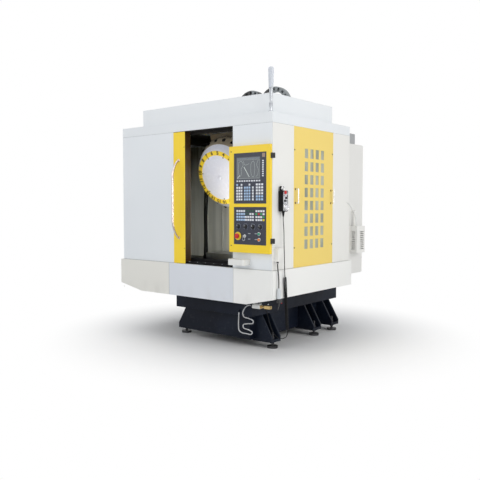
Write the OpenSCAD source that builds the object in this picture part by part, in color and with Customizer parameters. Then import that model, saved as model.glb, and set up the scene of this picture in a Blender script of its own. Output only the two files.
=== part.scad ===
// Vertical machining centre with a sheet metal enclosure and a drum magazine for 21 tools.
// X runs to the operator's right, Y to the back and Z up. The origin lies on the floor,
// under the spindle's centreline, midway between the front and the rear levelling feet.

/* [Enclosure] */
// Width of the enclosure
enc_w = 1960; // [1800:10:2100]
// Depth of the enclosure
enc_d = 1352; // [1300:2:1450]
// Height of the ledge where the upper panels stand on the skirt
ledge_z = 762; // [740:1:780]
// Height of the roof's flat top
roof_z = 2140; // [2120:5:2200]
// Height of the band round the roof
rim_h = 91; // [60:1:120]
// Distance from the spindle's centreline to the right side
axis_to_right = 772; // [740:1:800]
// Distance from the origin to the front
axis_to_front = 845; // [835:1:860]
// Thickness of the sheet metal
sheet = 3; // [2:0.5:4]
// Seam between two sheets
seam = 0.4; // [0.2:0.1:0.8]

/* [Roof cover] */
// Height of the raised cover above the roof
cover_h = 172; // [120:1:220]
// Inset of the cover from the left side
cover_left = 261; // [200:1:320]
// Inset of the cover from the front
cover_front = 55; // [50:1:80]
// Inset of the cover from the right side
cover_right = 48; // [48:1:80]
// Inset of the cover from the back
cover_back = 277; // [200:1:320]

/* [Skirt] */
// How far the skirt stands proud of the panels
skirt_proud = 22; // [16:1:30]
// Height of the side skirts' lower edge
skirt_side_z = 510; // [480:5:540]
// Height of the front skirt's lower edge
skirt_front_z = 445; // [430:5:470]
// Width of the cut corner at the left end of the front skirt
skirt_cut_left = 320; // [240:5:360]
// Width of the cut corner at the right end of the front skirt
skirt_cut_right = 290; // [220:5:300]
// Width of the left corner panel of the skirt
skirt_left_w = 730; // [660:5:760]
// Width of the right corner panel of the skirt
skirt_right_w = 450; // [400:5:480]

/* [Front door] */
// Distance from the left side to the door opening
open_left = 757; // [740:1:780]
// Distance from the door opening to the right side
open_right = 442; // [430:1:460]
// Width of the yellow edge post
post_w = 158; // [150:1:165]
// Depth of the yellow edge post
post_d = 76; // [72:1:84]
// Length of the bow handle between its feet
door_handle_len = 755; // [600:5:800]
// How far the bow handle stands out
door_handle_out = 86; // [70:1:95]
// Diameter of the handle's bar
handle_dia = 20; // [16:1:24]

/* [Operator panel] */
// Width of the operator panel
panel_w = 460; // [455:1:470]
// Height of the operator panel
panel_h = 950; // [940:5:960]
// Height of its lower edge
panel_z = 910; // [890:5:930]
// Thickness of its frame
panel_t = 28; // [26:1:32]
// Clearance between the frame and the front sheet
panel_gap = 2; // [1:0.5:4]

/* [Service panel] */
// Width of the louvred panel on the right side
service_w = 690; // [660:5:700]
// Distance from the front to the louvred panel
service_from_front = 331; // [320:1:340]
// Rows of slots
slot_rows = 8; // [6:1:9]
// Columns of slots
slot_cols = 4; // [3:1:4]
// Width of one slot
slot_w = 54; // [40:1:56]
// Height of one slot
slot_h = 88; // [70:1:96]
// Distance between columns
slot_pitch_y = 94; // [90:1:96]
// Distance between rows
slot_pitch_z = 120.5; // [115:1:124]

/* [Base] */
// Width of the base casting's flange
base_w = 964; // [940:2:980]
// Length of the base casting
base_len = 1525; // [1500:5:1540]
// Height of the base casting's top
base_top = 600; // [590:5:610]
// Height of the flange's lower edge
flange_z = 312; // [300:2:330]
// Reach of a foot from the centreline
foot_reach = 600; // [580:5:620]
// Width of a foot along Y
foot_w = 145; // [120:5:150]
// Distance between the front and the rear feet
foot_span = 1076; // [1060:2:1090]
// Place of the middle feet behind the origin
foot_mid = 185; // [160:5:210]
// Diameter of the levelling screws
jack_dia = 24; // [20:1:30]

/* [Axes] */
// Spindle axis behind the origin (negative is in front)
spindle_y = -250; // [-255:1:-245]
// Height of the spindle nose
nose_z = 1325; // [1300:5:1340]
// Width of the table
table_w = 700; // [650:10:720]
// Depth of the table
table_d = 420; // [400:5:430]
// Height of the table's top
table_z = 845; // [840:1:860]
// Width of a T-slot's neck
tslot_w = 14; // [12:1:18]
// Distance between T-slots
tslot_pitch = 125; // [110:5:135]
// Radius of the spindle's bore at the nose
taper_r = 16; // [14:0.5:20]
// Front of the column behind the origin
column_y = 175; // [172:1:180]

/* [Tool magazine] */
// Radius of the magazine's white cover
drum_r = 277; // [268:1:282]
// Radius at the back of the flared drum
drum_back_r = 315; // [300:1:320]
// Depth of the white cover
drum_d = 60; // [50:1:70]
// Radius of the ring that carries the grippers
carrier_r = 360; // [350:1:364]
// Forward tilt of the magazine's axis
drum_tilt = 18; // [17:0.5:19]
// Front centre of the magazine, behind the origin
drum_y = -645; // [-650:1:-638]
// Height of the magazine's front centre
drum_z = 1599; // [1595:1:1606]
// Number of tools
tool_count = 21; // [15:1:21]

/* [Electric cabinet] */
// Width of the cabinet
cab_w = 1200; // [1000:10:1240]
// Depth of the cabinet
cab_d = 405; // [360:5:420]
// Height of the cabinet's top
cab_top = 1985; // [1900:5:2000]
// Distance from the cabinet to the enclosure's right side
cab_inset = 72; // [60:1:90]

/* [Hidden] */
$fn = 48;

xr = axis_to_right;
xl = xr - enc_w;
yf = -axis_to_front;
yb = yf + enc_d;
seam_z = roof_z - rim_h;
wall_z0 = ledge_z + seam;
wall_z1 = seam_z - seam;
open_x0 = xl + open_left;
open_x1 = xr - open_right;

// A box between two corners
module span(a, b) {
    translate(a)
        cube([b[0] - a[0], b[1] - a[1], b[2] - a[2]]);
}

// A round bar between two heights
module post(x, y, z0, z1, r) {
    translate([x, y, z0])
        cylinder(h = z1 - z0, r = r);
}

// A round bar along Y between two depths
module rod_y(x, z, y0, y1, r) {
    translate([x, y0, z])
        rotate([-90, 0, 0])
            cylinder(h = y1 - y0, r = r);
}

// A round bar along X between two places
module rod_x(y, z, x0, x1, r) {
    translate([x0, y, z])
        rotate([0, 90, 0])
            cylinder(h = x1 - x0, r = r);
}

// A plate in the XZ plane from an outline of [x, z] points
module plate_xz(points, y0, y1) {
    translate([0, y1, 0])
        rotate([90, 0, 0])
            linear_extrude(y1 - y0)
                polygon(points);
}

// A plate in the YZ plane from an outline of [y, z] points
module plate_yz(points, x0, x1) {
    translate([x0, 0, 0])
        rotate([90, 0, 90])
            linear_extrude(x1 - x0)
                polygon(points);
}

// A rectangle with round corners, lying in XY
module round_rect(w, h, r) {
    square([w - 2 * r, h], center = true);
    square([w, h - 2 * r], center = true);
    for (i = [-1, 1])
        for (j = [-1, 1])
            translate([i * (w / 2 - r), j * (h / 2 - r)])
                circle(r = r);
}

// A block with round edges along Y, centred on x and z
module block_y(x, z, w, h, r, y0, y1) {
    translate([x, y1, z])
        rotate([90, 0, 0])
            linear_extrude(y1 - y0)
                round_rect(w, h, r);
}

// A block with round edges along X, centred on y and z
module block_x(y, z, w, h, r, x0, x1) {
    translate([x0, y, z])
        rotate([90, 0, 90])
            linear_extrude(x1 - x0)
                round_rect(w, h, r);
}

// Points on a smooth curve through the route's own points
function at(p, i) = p[max(0, min(len(p) - 1, i))];
function curve(p, i, t) = 0.5 * ((2 * at(p, i))
    + (at(p, i + 1) - at(p, i - 1)) * t
    + (2 * at(p, i - 1) - 5 * at(p, i) + 4 * at(p, i + 1) - at(p, i + 2)) * t * t
    + (3 * at(p, i) - at(p, i - 1) - 3 * at(p, i + 1) + at(p, i + 2)) * t * t * t);
function smooth(p, n) = concat(
    [for (i = [0 : len(p) - 2]) for (k = [0 : n - 1]) curve(p, i, k / n)],
    [p[len(p) - 1]]);
function unit(v) = v / norm(v);
function along(p, i) = unit(at(p, i + 1) - at(p, i - 1));
// Ends follow the route's own first and last legs, so they sit square on their fittings
function heading(route, p, i) = i == 0 ? unit(route[1] - route[0])
    : i == len(p) - 1 ? unit(route[len(route) - 1] - route[len(route) - 2])
    : along(p, i);

// A round cord swept along a route; ref is a direction that the route never follows
module cord(route, r, ref, steps, sides = 8) {
    p = smooth(route, steps);
    n = len(p);
    ring = [for (i = [0 : n - 1])
        let (t = heading(route, p, i), u = unit(cross(ref, t)), v = cross(t, u))
            for (k = [0 : sides - 1])
                p[i] + r * (cos(360 * k / sides) * u + sin(360 * k / sides) * v)];
    walls = [for (i = [0 : n - 2]) for (k = [0 : sides - 1])
        [i * sides + k, (i + 1) * sides + k,
            (i + 1) * sides + (k + 1) % sides, i * sides + (k + 1) % sides]];
    start = [[for (k = [0 : sides - 1]) k]];
    end = [[for (k = [0 : sides - 1]) n * sides - 1 - k]];
    polyhedron(points = ring, faces = concat(walls, start, end));
}

// Base casting with its feet, ribs and Y rails
body_in = 74;
base_y1 = base_len / 2;
base_y0 = -base_y1;
flange_x = base_w / 2;
body_x = flange_x - body_in;
foot_y = [-foot_span / 2, foot_mid, foot_span / 2];
foot_top = 85;
foot_low = 60;
jack_x = foot_reach - 42;
rail_w = 34;
rail_h = 30;
y_rail_x = 190;
rail_y0 = spindle_y - 430;
inlet_x = 344;
inlet_r = 8;
inlet_y = base_y0 - 14;
inlet_z = 345;
gland_y = -645;
gland_z = 400;
gland_len = 18;
rail_y1 = column_y - 6;
module foot(y, side) {
    y0 = y - foot_w / 2;
    gusset = 18;
    mirror([side < 0 ? 1 : 0, 0, 0]) {
        difference() {
            span([body_x - 30, y0, foot_low], [foot_reach, y0 + foot_w, foot_top]);
            post(jack_x, y, foot_low - 1, foot_top + 1, jack_dia / 2 + 0.05);
        }
        for (g = [y0, y0 + foot_w - gusset])
            plate_xz([[body_x - 30, foot_low], [foot_reach, foot_low], [foot_reach, foot_top + 25],
                [flange_x - 2, flange_z + 2], [body_x - 30, flange_z + 2]], g, g + gusset);
    }
}
module base_casting() {
    wall = 32;
    color("#1b2333") {
        difference() {
            span([-flange_x, base_y0, flange_z], [flange_x, base_y1, base_top]);
            span([-flange_x + wall, base_y0 + wall, flange_z - 1],
                [flange_x - wall, base_y1 - wall, base_top - 45]);
        }
        difference() {
            span([-body_x, base_y0 + body_in, foot_low + 20], [body_x, base_y1 - body_in, flange_z + 1]);
            span([-body_x + wall, base_y0 + body_in + wall, foot_low],
                [body_x - wall, base_y1 - body_in - wall, flange_z + 2]);
        }
        // cross ribs under the top
        for (y = foot_y)
            span([-flange_x + wall - 1, y - 15, flange_z + 1], [flange_x - wall + 1, y + 15, base_top - 44]);
        for (y = foot_y)
            for (side = [-1, 1])
                foot(y, side);
        for (side = [-1, 1])
            span([side * y_rail_x - rail_w / 2, rail_y0, base_top - 1],
                [side * y_rail_x + rail_w / 2, rail_y1, base_top + rail_h]);
        // air inlet elbow on the front and cable gland on the right side
        post(inlet_x, inlet_y, inlet_z, inlet_z + 22, inlet_r);
        rod_y(inlet_x, inlet_z + 14, inlet_y, base_y0 + 1, inlet_r);
        rod_x(gland_y, gland_z, flange_x - 1, flange_x + gland_len, 9);
    }
}

// Six levelling screws, each with its pad and lock nuts
module levelling_feet() {
    pad_r = 50;
    color("#5a5f63")
        for (y = foot_y)
            for (side = [-1, 1])
                translate([side * jack_x, y, 0]) {
                    cylinder(h = 22, r = pad_r);
                    cylinder(h = foot_top + 62, r = jack_dia / 2);
                    translate([0, 0, foot_low - 18])
                        cylinder(h = 18, r = jack_dia * 0.8, $fn = 6);
                    translate([0, 0, foot_top])
                        cylinder(h = 20, r = jack_dia * 0.8, $fn = 6);
                }
}

// Column with its Z rails and the ears that carry the magazine's arm
column_x = 240;
column_d = 280;
column_top = 2060;
z_rail_x = 130;
pivot_y = 60;
pivot_z = 1950;
pivot_r = 15;
arm_x = 205;
arm_t = 20;
ear_t = 25;
ear_r = 45;
z_rail_z0 = 980;
module column() {
    wall = 30;
    color("#d9dcd6") {
        difference() {
            span([-column_x, column_y, base_top], [column_x, column_y + column_d, column_top]);
            span([-column_x + wall, column_y + wall, base_top + wall],
                [column_x - wall, column_y + column_d - wall, column_top - wall]);
        }
        for (side = [-1, 1])
            span([side * z_rail_x - rail_w / 2, column_y - rail_h, z_rail_z0],
                [side * z_rail_x + rail_w / 2, column_y + 1, column_top - 40]);
        mirror_x() {
            span([arm_x - 2 - ear_t, pivot_y, pivot_z - ear_r],
                [arm_x - 2, column_y + 1, pivot_z + ear_r]);
            rod_x(pivot_y, pivot_z, arm_x - 2 - ear_t, arm_x - 2, ear_r);
            rod_x(pivot_y, pivot_z, arm_x - 3, arm_x + arm_t + 6, pivot_r);
        }
    }
}
module mirror_x() {
    children();
    mirror([1, 0, 0])
        children();
}

// Ball screws and motors of the Y and Z axes, each with its motor bracket
screw_r = 16;
y_screw_z = base_top + 48;
track_back = yf + sheet + 20 + 2 + 74;
pan_y0 = track_back + 0.3;
well_y0 = pan_y0 + 30;
y_bracket_y = well_y0 - 0.3;
y_motor_len = 100;
z_screw_y = column_y - 50;
z_nut_gap = 0.3;
module motor_z(x, y, z, w, h) {
    translate([x, y, z])
        linear_extrude(h)
            round_rect(w, w, w / 8);
}
module axis_drives() {
    color("#3c4147") {
        // Y axis
        rod_y(0, y_screw_z, y_bracket_y - 1, rail_y1 - 30, screw_r);
        span([-50, rail_y1 - 31, base_top], [50, rail_y1 - 6, y_screw_z + 40]);
        span([-60, y_bracket_y - 20, base_top], [60, y_bracket_y, y_screw_z + 48]);
        block_y(0, y_screw_z, 90, 90, 10, y_bracket_y - 20 - y_motor_len, y_bracket_y - 19);
        // Z axis
        post(0, z_screw_y, z_rail_z0 + 20, column_top + 8, screw_r);
        span([-50, z_screw_y - 40, z_rail_z0 - 5], [50, column_y, z_rail_z0 + 20]);
        span([-70, z_screw_y - 70, column_top], [70, column_y + 60, column_top + 25]);
        motor_z(0, z_screw_y, column_top + 25, 130, 170);
    }
}

// Saddle that slides along Y and carries the X rails, ball screw and motor
saddle_w = 560;
saddle_d = 380;
saddle_z0 = base_top + rail_h + 0.4;
saddle_z1 = table_z - 115;
x_rail_y = 130;
run_gap = 0.4;
x_screw_z = saddle_z1 + 12;
module saddle() {
    color("#2b3442") {
        difference() {
            span([-saddle_w / 2, spindle_y - saddle_d / 2, saddle_z0 - 22],
                [saddle_w / 2, spindle_y + saddle_d / 2, saddle_z1]);
            for (side = [-1, 1])
                span([side * y_rail_x - rail_w / 2 - run_gap, spindle_y - saddle_d, saddle_z0 - 30],
                    [side * y_rail_x + rail_w / 2 + run_gap, spindle_y + saddle_d, saddle_z0]);
            // tunnel for the Y ball screw
            span([-screw_r - 12, spindle_y - saddle_d, saddle_z0 - 30],
                [screw_r + 12, spindle_y + saddle_d, y_screw_z + screw_r + 6]);
            // trough for the X ball screw
            span([-saddle_w, spindle_y - 40, saddle_z1 - 30],
                [saddle_w, spindle_y + 40, saddle_z1 + 1]);
        }
        for (side = [-1, 1])
            span([-saddle_w / 2, spindle_y + side * x_rail_y - rail_w / 2, saddle_z1 - 1],
                [saddle_w / 2, spindle_y + side * x_rail_y + rail_w / 2, saddle_z1 + rail_h]);
        // end blocks of the X ball screw
        for (side = [-1, 1])
            span([side * (saddle_w / 2 - 12) - 12, spindle_y - 40.5, saddle_z1 - 31],
                [side * (saddle_w / 2 - 12) + 12, spindle_y + 40.5, saddle_z1 + 24]);
        rod_x(spindle_y, x_screw_z, -saddle_w / 2 + 12, saddle_w / 2 + 30, 12);
        block_x(spindle_y, x_screw_z - 12, 70, 70, 8, saddle_w / 2, saddle_w / 2 + 95);
    }
}

// Table with three T-slots, sliding along X on the saddle's rails
slot_deep = 26;
tslot_under = 24;
module work_table() {
    z0 = saddle_z1 + rail_h + run_gap;
    color("#8d9499")
        difference() {
            span([-table_w / 2, spindle_y - table_d / 2, z0 - 18],
                [table_w / 2, spindle_y + table_d / 2, table_z]);
            for (side = [-1, 1])
                span([-table_w, spindle_y + side * x_rail_y - rail_w / 2 - run_gap, z0 - 30],
                    [table_w, spindle_y + side * x_rail_y + rail_w / 2 + run_gap, z0]);
            span([-table_w, spindle_y - 42, z0 - 30],
                [table_w, spindle_y + 42, z0 + 6]);
            for (i = [-1 : 1]) {
                y = spindle_y + i * tslot_pitch;
                span([-table_w, y - tslot_w / 2, table_z - slot_deep],
                    [table_w, y + tslot_w / 2, table_z + 1]);
                span([-table_w, y - tslot_under / 2, table_z - slot_deep],
                    [table_w, y + tslot_under / 2, table_z - slot_deep + 11]);
            }
        }
}

// Head casting with the spindle housing, its runner blocks and ball nut
head_x = 150;
head_front = 70;
head_z0 = nose_z + 95;
head_z1 = nose_z + 475;
housing_r = 58;
shaft_r = 38;
shaft_gap = 0.05;
runner_x = 175;
head_back = column_y - rail_h - z_nut_gap;
module head_casting() {
    color("#c9cdc8")
        difference() {
            union() {
                span([-head_x, spindle_y - head_front, head_z0],
                    [head_x, head_back - 40, head_z1]);
                span([-runner_x, head_back - 41, head_z0 - 60],
                    [runner_x, head_back, head_z1 + 60]);
                post(0, spindle_y, nose_z, head_z0 + 1, housing_r);
                // runner blocks on each side of the rails
                for (side = [-1, 1])
                    for (e = [-1, 1])
                        for (z = [head_z0 - 50, head_z1 - 40])
                            span([side * z_rail_x + e * 28 - 10.6, head_back - 1, z],
                                [side * z_rail_x + e * 28 + 10.6, column_y - 6, z + 90]);
            }
            post(0, spindle_y, nose_z - 1, head_z1 + 1, shaft_r + shaft_gap);
            // groove for the Z ball screw
            span([-60, z_screw_y - 45, head_z0 - 61], [60, column_y, head_z1 + 61]);
        }
}

// Spindle with its nose flange and taper bore
module spindle_shaft() {
    shaft_z0 = nose_z - 12;
    color("#c4c8cc")
        difference() {
            union() {
                post(0, spindle_y, shaft_z0, nose_z - 0.3, 44);
                post(0, spindle_y, shaft_z0, head_z1 - 20, shaft_r);
            }
            post(0, spindle_y, shaft_z0 - 1, shaft_z0 + 48, taper_r);
            post(0, spindle_y, shaft_z0 + 47, head_z1 - 40, 8);
        }
}

// Spindle motor that stands on the head
module spindle_motor() {
    color("#25292e") {
        motor_z(0, spindle_y, head_z1, 150, 250);
        post(0, spindle_y, head_z1 + 249, head_z1 + 290, 52);
    }
}

// Magazine's own frame: z runs out of its face, y up the face
module magazine() {
    translate([0, drum_y, drum_z])
        rotate([90 + drum_tilt, 0, 0])
            children();
}
hub_r = 40;
hub_gap = 0.05;
carrier_depth = 105;
carrier_z0 = -drum_d - carrier_depth;
carrier_front = -drum_d - 0.4;
arm_back = carrier_z0 - 97;
// Arm that swings on the column's pins and carries the magazine and its motor
module turret_arm() {
    color("#7b6a54") {
        mirror_x()
            difference() {
                plate_yz([[pivot_y + 38, pivot_z - 42], [pivot_y + 38, pivot_z + 42],
                    [drum_y + 150, pivot_z + 100], [drum_y + 110, pivot_z + 100],
                    [drum_y + 162, pivot_z - 60], [drum_y + 195, pivot_z - 75]], arm_x, arm_x + arm_t);
                rod_x(pivot_y, pivot_z, arm_x - 1, arm_x + arm_t + 1, pivot_r + hub_gap);
            }
        magazine() {
            translate([-arm_x - arm_t, 255, arm_back])
                cube([2 * (arm_x + arm_t), 130, 22]);
            translate([-105, -80, arm_back])
                cube([210, 380, 22]);
            translate([0, 0, arm_back + 1])
                cylinder(h = carrier_z0 - 0.4 - arm_back - 1, r = 75);
            cylinder_between(arm_back + 1, -drum_d + 12, hub_r);
            // motor beside the hub
            translate([0, 165, arm_back + 21])
                linear_extrude(64)
                    round_rect(110, 110, 12);
        }
    }
}
module cylinder_between(z0, z1, r) {
    translate([0, 0, z0])
        cylinder(h = z1 - z0, r = r);
}

// White cover on the magazine's front: a shallow bowl, open at the back
module turret_cover() {
    skin = 4;
    edge = 10;
    color("#e6e8f0")
        magazine()
            rotate_extrude($fn = 96)
                polygon([[0, 0], [drum_r - edge, 0], [drum_r, -edge], [drum_back_r, -drum_d],
                    [drum_back_r - skin, -drum_d], [drum_r - skin, -edge - 2],
                    [drum_r - edge - 2, -skin], [0, -skin]]);
}

// Conical carrier ring with its hub and the grippers
cone_r = drum_back_r + 3;
cone_z = carrier_z0 + 25;
module turret_carrier() {
    grip_y = carrier_r - 24;
    color("#8a7a5c")
        magazine()
            difference() {
                union() {
                    rotate_extrude($fn = 96)
                        polygon([[hub_r + hub_gap, carrier_front], [cone_r, carrier_front],
                            [carrier_r, cone_z], [carrier_r, carrier_z0], [carrier_r - 16, carrier_z0],
                            [cone_r - 20, carrier_front - 16], [hub_r + 25, carrier_front - 16],
                            [hub_r + 25, carrier_z0], [hub_r + hub_gap, carrier_z0]]);
                    for (i = [0 : tool_count - 1])
                        rotate([0, 0, 360 * i / tool_count])
                            translate([0, grip_y, carrier_z0 + 6])
                                rotate([drum_tilt, 0, 0])
                                    difference() {
                                        translate([-25, 0, -42])
                                            cube([50, 18, 62]);
                                        translate([-15, -1, -43])
                                            cube([30, 20, 34]);
                                    }
                }
                for (i = [0 : tool_count - 1])
                    rotate([0, 0, 360 * (i + 0.5) / tool_count])
                        translate([0, (cone_r + carrier_r) / 2, carrier_z0 - 20])
                            cylinder(h = 90, r = 18, $fn = 24);
            }
}

// Front sheets: the left one, the right one with the control box cut-out
pin_x = xr + 7;
panel_y1 = yf - panel_gap;
panel_y0 = panel_y1 - panel_t;
pin_y = panel_y1 - panel_t / 2;
pin_r = 3;
pin_gap = 0.05;
panel_x1 = xr;
panel_x0 = panel_x1 - panel_w;
panel_top = panel_z + panel_h;
hinge_z = [panel_z + 112, panel_top - 98];
hinge_h = 46;
box_x0 = panel_x0 + 78;
box_x1 = panel_x1 - 27;
box_z0 = panel_z + 30;
box_z1 = panel_top - 30;
box_d = 95;
cut_in = 24;
fold = 20;
module front_panels() {
    color("#dfe4e6") {
        span([xl, yf, wall_z0], [open_x0, yf + sheet, wall_z1]);
        difference() {
            span([open_x1, yf, wall_z0], [xr, yf + sheet, wall_z1]);
            span([box_x0 - cut_in, yf - 1, box_z0 - 8], [box_x1 + 6, yf + sheet + 1, box_z1 + 8]);
        }
        span([open_x1, yf + sheet - 0.5, wall_z0], [open_x1 + sheet, yf + sheet + fold, door_z1]);
        // hinge leaves and pins of the operator panel
        for (z = hinge_z) {
            post(pin_x, pin_y, z - hinge_h / 2, z + hinge_h / 2, pin_r);
            for (e = [-1, 1]) {
                post(pin_x, pin_y, z + e * 19 - 4, z + e * 19 + 4, 7);
                span([pin_x - 2, pin_y, z + e * 19 - 4], [pin_x + 5, yf + 14, z + e * 19 + 4]);
            }
            span([xr - 1, yf, z - hinge_h / 2], [pin_x + 5, yf + sheet, z + hinge_h / 2]);
            span([xr + seam, yf, z - hinge_h / 2], [pin_x + 5, yf + 14, z + hinge_h / 2]);
        }
    }
}

// Right side sheet with the opening for the louvred panel, the pendant hook and the hose pocket
service_y0 = yf + service_from_front;
service_y1 = service_y0 + service_w;
side_y0 = yf + sheet + seam;
hook_y = -740;
hook_z = 1482;
pocket_z0 = 843;
pocket_z1 = 960;
pocket_y0 = yf + 29;
pocket_y1 = pocket_y0 + 76;
hose_x = xr + 30;
hose_y = pocket_y0 + 14;
hose_z = pocket_z0 - 18;
module right_side_panel() {
    color("#e4e3de") {
        difference() {
            span([xr - sheet, side_y0 + 14, wall_z0], [xr, yb, wall_z1]);
            span([xr - sheet - 1, service_y0 - seam, wall_z0 - 1], [xr + 1, service_y1 + seam, wall_z1 + 1]);
        }
        // frame strips behind the louvred panel's top and bottom
        for (z = [wall_z0, wall_z1 - 30])
            span([xr - 2 * sheet, service_y0 - 30, z], [xr - sheet, service_y1 + 30, z + 30]);
        span([xr - sheet, side_y0, wall_z0], [xr, side_y0 + 15, wall_z1]);
        // pendant hook
        rod_x(hook_y, hook_z, xr - 1, xr + 34, 4);
        post(xr + 34, hook_y, hook_z - 4, hook_z + 12, 4);
        // hose pocket
        difference() {
            plate_yz([[pocket_y0, pocket_z1], [pocket_y1, pocket_z1], [pocket_y0 + 30, pocket_z0],
                [pocket_y0, pocket_z0]], xr - 0.5, xr + 46);
            plate_yz([[pocket_y0 + 4, pocket_z1 + 1], [pocket_y1 - 5, pocket_z1 + 1],
                [pocket_y0 + 28, pocket_z0 + 5], [pocket_y0 + 4, pocket_z0 + 5]], xr + 1, xr + 43);
        }
        post(hose_x, hose_y, hose_z, pocket_z0 + 1, 8);
    }
}

module left_side_panel() {
    color("#dfe4e6") {
        span([xl, side_y0, wall_z0], [xl + sheet, yb, wall_z1]);
        span([xl + sheet, service_y0, wall_z0 + 60], [xl + 2 * sheet, service_y1, wall_z1 - 60]);
    }
}

// Back sheet with the opening behind the column
module back_panel() {
    color("#d3d6d5")
        difference() {
            span([xl + sheet + seam, yb - sheet, wall_z0], [xr - sheet - seam, yb, wall_z1]);
            span([-column_x + 20, yb - sheet - 1, wall_z0 - 1], [column_x - 20, yb + 1, column_top - 300]);
        }
}

// Roof band and top sheet, open under the raised cover
cover_x0 = xl + cover_left;
cover_x1 = xr - cover_right;
cover_y0 = yf + cover_front;
cover_y1 = yb - cover_back;
module roof_panel() {
    color("#e2e5e6")
        difference() {
            span([xl, yf, seam_z], [xr, yb, roof_z]);
            span([xl + sheet, yf + sheet, seam_z - 1], [xr - sheet, yb - sheet, roof_z - sheet]);
            span([cover_x0 + 20, cover_y0 + 20, roof_z - sheet - 1], [cover_x1 - 20, cover_y1 - 20, roof_z + 1]);
        }
}

module roof_cover() {
    color("#e8eaea")
        difference() {
            span([cover_x0, cover_y0, roof_z], [cover_x1, cover_y1, roof_z + cover_h]);
            span([cover_x0 + sheet, cover_y0 + sheet, roof_z - 1],
                [cover_x1 - sheet, cover_y1 - sheet, roof_z + cover_h - sheet]);
        }
}

// Louvred service panel
slot_z0 = wall_z1 - 279;
slot_y0 = service_y0 + 208;
module service_panel() {
    color("#f0d032")
        difference() {
            span([xr - sheet, service_y0, wall_z0], [xr, service_y1, wall_z1]);
            for (i = [0 : slot_cols - 1])
                for (j = [0 : slot_rows - 1])
                    translate([xr - sheet - 1, slot_y0 + i * slot_pitch_y - slot_w / 2,
                        slot_z0 - j * slot_pitch_z])
                        cube([sheet + 2, slot_w, slot_h]);
        }
}

// Two bow handles on the louvred panel
service_handle_y = [service_y0 + 26, service_y1 - 40];
module bow_x(y, z0, z1, r, out) {
    rod_x(y, z0, xr, xr + out, r);
    rod_x(y, z1, xr, xr + out, r);
    post(xr + out, y, z0 - r, z1 + r, r);
}
bow_z0 = 1355;
bow_len = 125;
bow_r = 6;
bow_out = 34;
module service_handles() {
    color("#c9ccd0")
        for (y = service_handle_y)
            bow_x(y, bow_z0, bow_z0 + bow_len, bow_r, bow_out);
}

// Skirt: three front panels and two side panels with folded ledges
skirt_y = yf - skirt_proud;
skirt_xl = xl - skirt_proud;
skirt_xr = xr + skirt_proud;
skirt_s1 = xl + skirt_left_w - 20;
skirt_s2 = xr - skirt_right_w;
ledge_in = 34;
module skirts() {
    color("#e9e6dc") {
        plate_xz([[skirt_xl, skirt_side_z], [skirt_xl + skirt_cut_left, skirt_front_z],
            [skirt_s1 - seam, skirt_front_z], [skirt_s1 - seam, ledge_z], [skirt_xl, ledge_z]],
            skirt_y, skirt_y + sheet);
        plate_xz([[skirt_s1 + seam, skirt_front_z], [skirt_s2 - seam, skirt_front_z],
            [skirt_s2 - seam, ledge_z], [skirt_s1 + seam, ledge_z]], skirt_y, skirt_y + sheet);
        plate_xz([[skirt_s2 + seam, skirt_front_z], [skirt_xr - skirt_cut_right, skirt_front_z],
            [skirt_xr, skirt_side_z], [skirt_xr, ledge_z], [skirt_s2 + seam, ledge_z]],
            skirt_y, skirt_y + sheet);
        // ledges that carry the upper panels
        span([skirt_xl, skirt_y + sheet - 0.5, ledge_z - sheet],
            [skirt_s1 - seam, skirt_y + sheet + ledge_in, ledge_z]);
        span([skirt_s1 + seam, skirt_y + sheet - 0.5, ledge_z - sheet],
            [skirt_s2 - seam, skirt_y + sheet + ledge_in, ledge_z]);
        span([skirt_s2 + seam, skirt_y + sheet - 0.5, ledge_z - sheet],
            [skirt_xr, skirt_y + sheet + ledge_in, ledge_z]);
        // lower lips
        span([skirt_xl + skirt_cut_left, skirt_y + sheet - 0.5, skirt_front_z],
            [skirt_s1 - seam, skirt_y + 30, skirt_front_z + sheet]);
        span([skirt_s1 + seam, skirt_y + sheet - 0.5, skirt_front_z],
            [skirt_s2 - seam, skirt_y + 30, skirt_front_z + sheet]);
        span([skirt_s2 + seam, skirt_y + sheet - 0.5, skirt_front_z],
            [skirt_xr - skirt_cut_right, skirt_y + 30, skirt_front_z + sheet]);
    }
    color("#e4e2dc")
        for (side = [-1, 1]) {
            x_out = side > 0 ? skirt_xr : skirt_xl;
            x_in = x_out - side * sheet;
            y0 = skirt_y + sheet + ledge_in + seam;
            y1 = yb + skirt_proud;
            span([min(x_out, x_in), y0, skirt_side_z], [max(x_out, x_in), y1, ledge_z]);
            span([min(x_out, x_out - side * (ledge_in + sheet)), y0, ledge_z - sheet],
                [max(x_out, x_out - side * (ledge_in + sheet)), y1, ledge_z]);
            span([min(x_out, x_out - side * 30), y0, skirt_side_z],
                [max(x_out, x_out - side * 30), y1, skirt_side_z + sheet]);
            span([min(x_out, x_in), skirt_y + sheet + seam, skirt_side_z],
                [max(x_out, x_in), y0 + 1, ledge_z - sheet - seam]);
        }
}

// Lower and upper door tracks
leaf_y0 = yf + 26;
leaf_t = 24;
track_h = 52;
track_x0 = xl + sheet + run_gap;
track_x1 = xr - sheet - run_gap;
door_z0 = wall_z0 + 24;
door_z1 = wall_z1 - 4;
module door_tracks() {
    color("#23262a") {
        span([track_x0, yf + sheet + fold + 2, ledge_z], [track_x1, track_back, door_z0 - run_gap]);
        span([track_x0, yf + post_d + 2, door_z0 - 1], [track_x1, track_back, wall_z0 + track_h]);
    }
    color("#3a3d33") {
        span([track_x0, yf + sheet + run_gap, door_z1 + run_gap], [track_x1, track_back + 12, seam_z + 14]);
        span([track_x0, yf + post_d + 2, door_z1 - 26], [track_x1, track_back + 12, door_z1 + 1]);
    }
}

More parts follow.
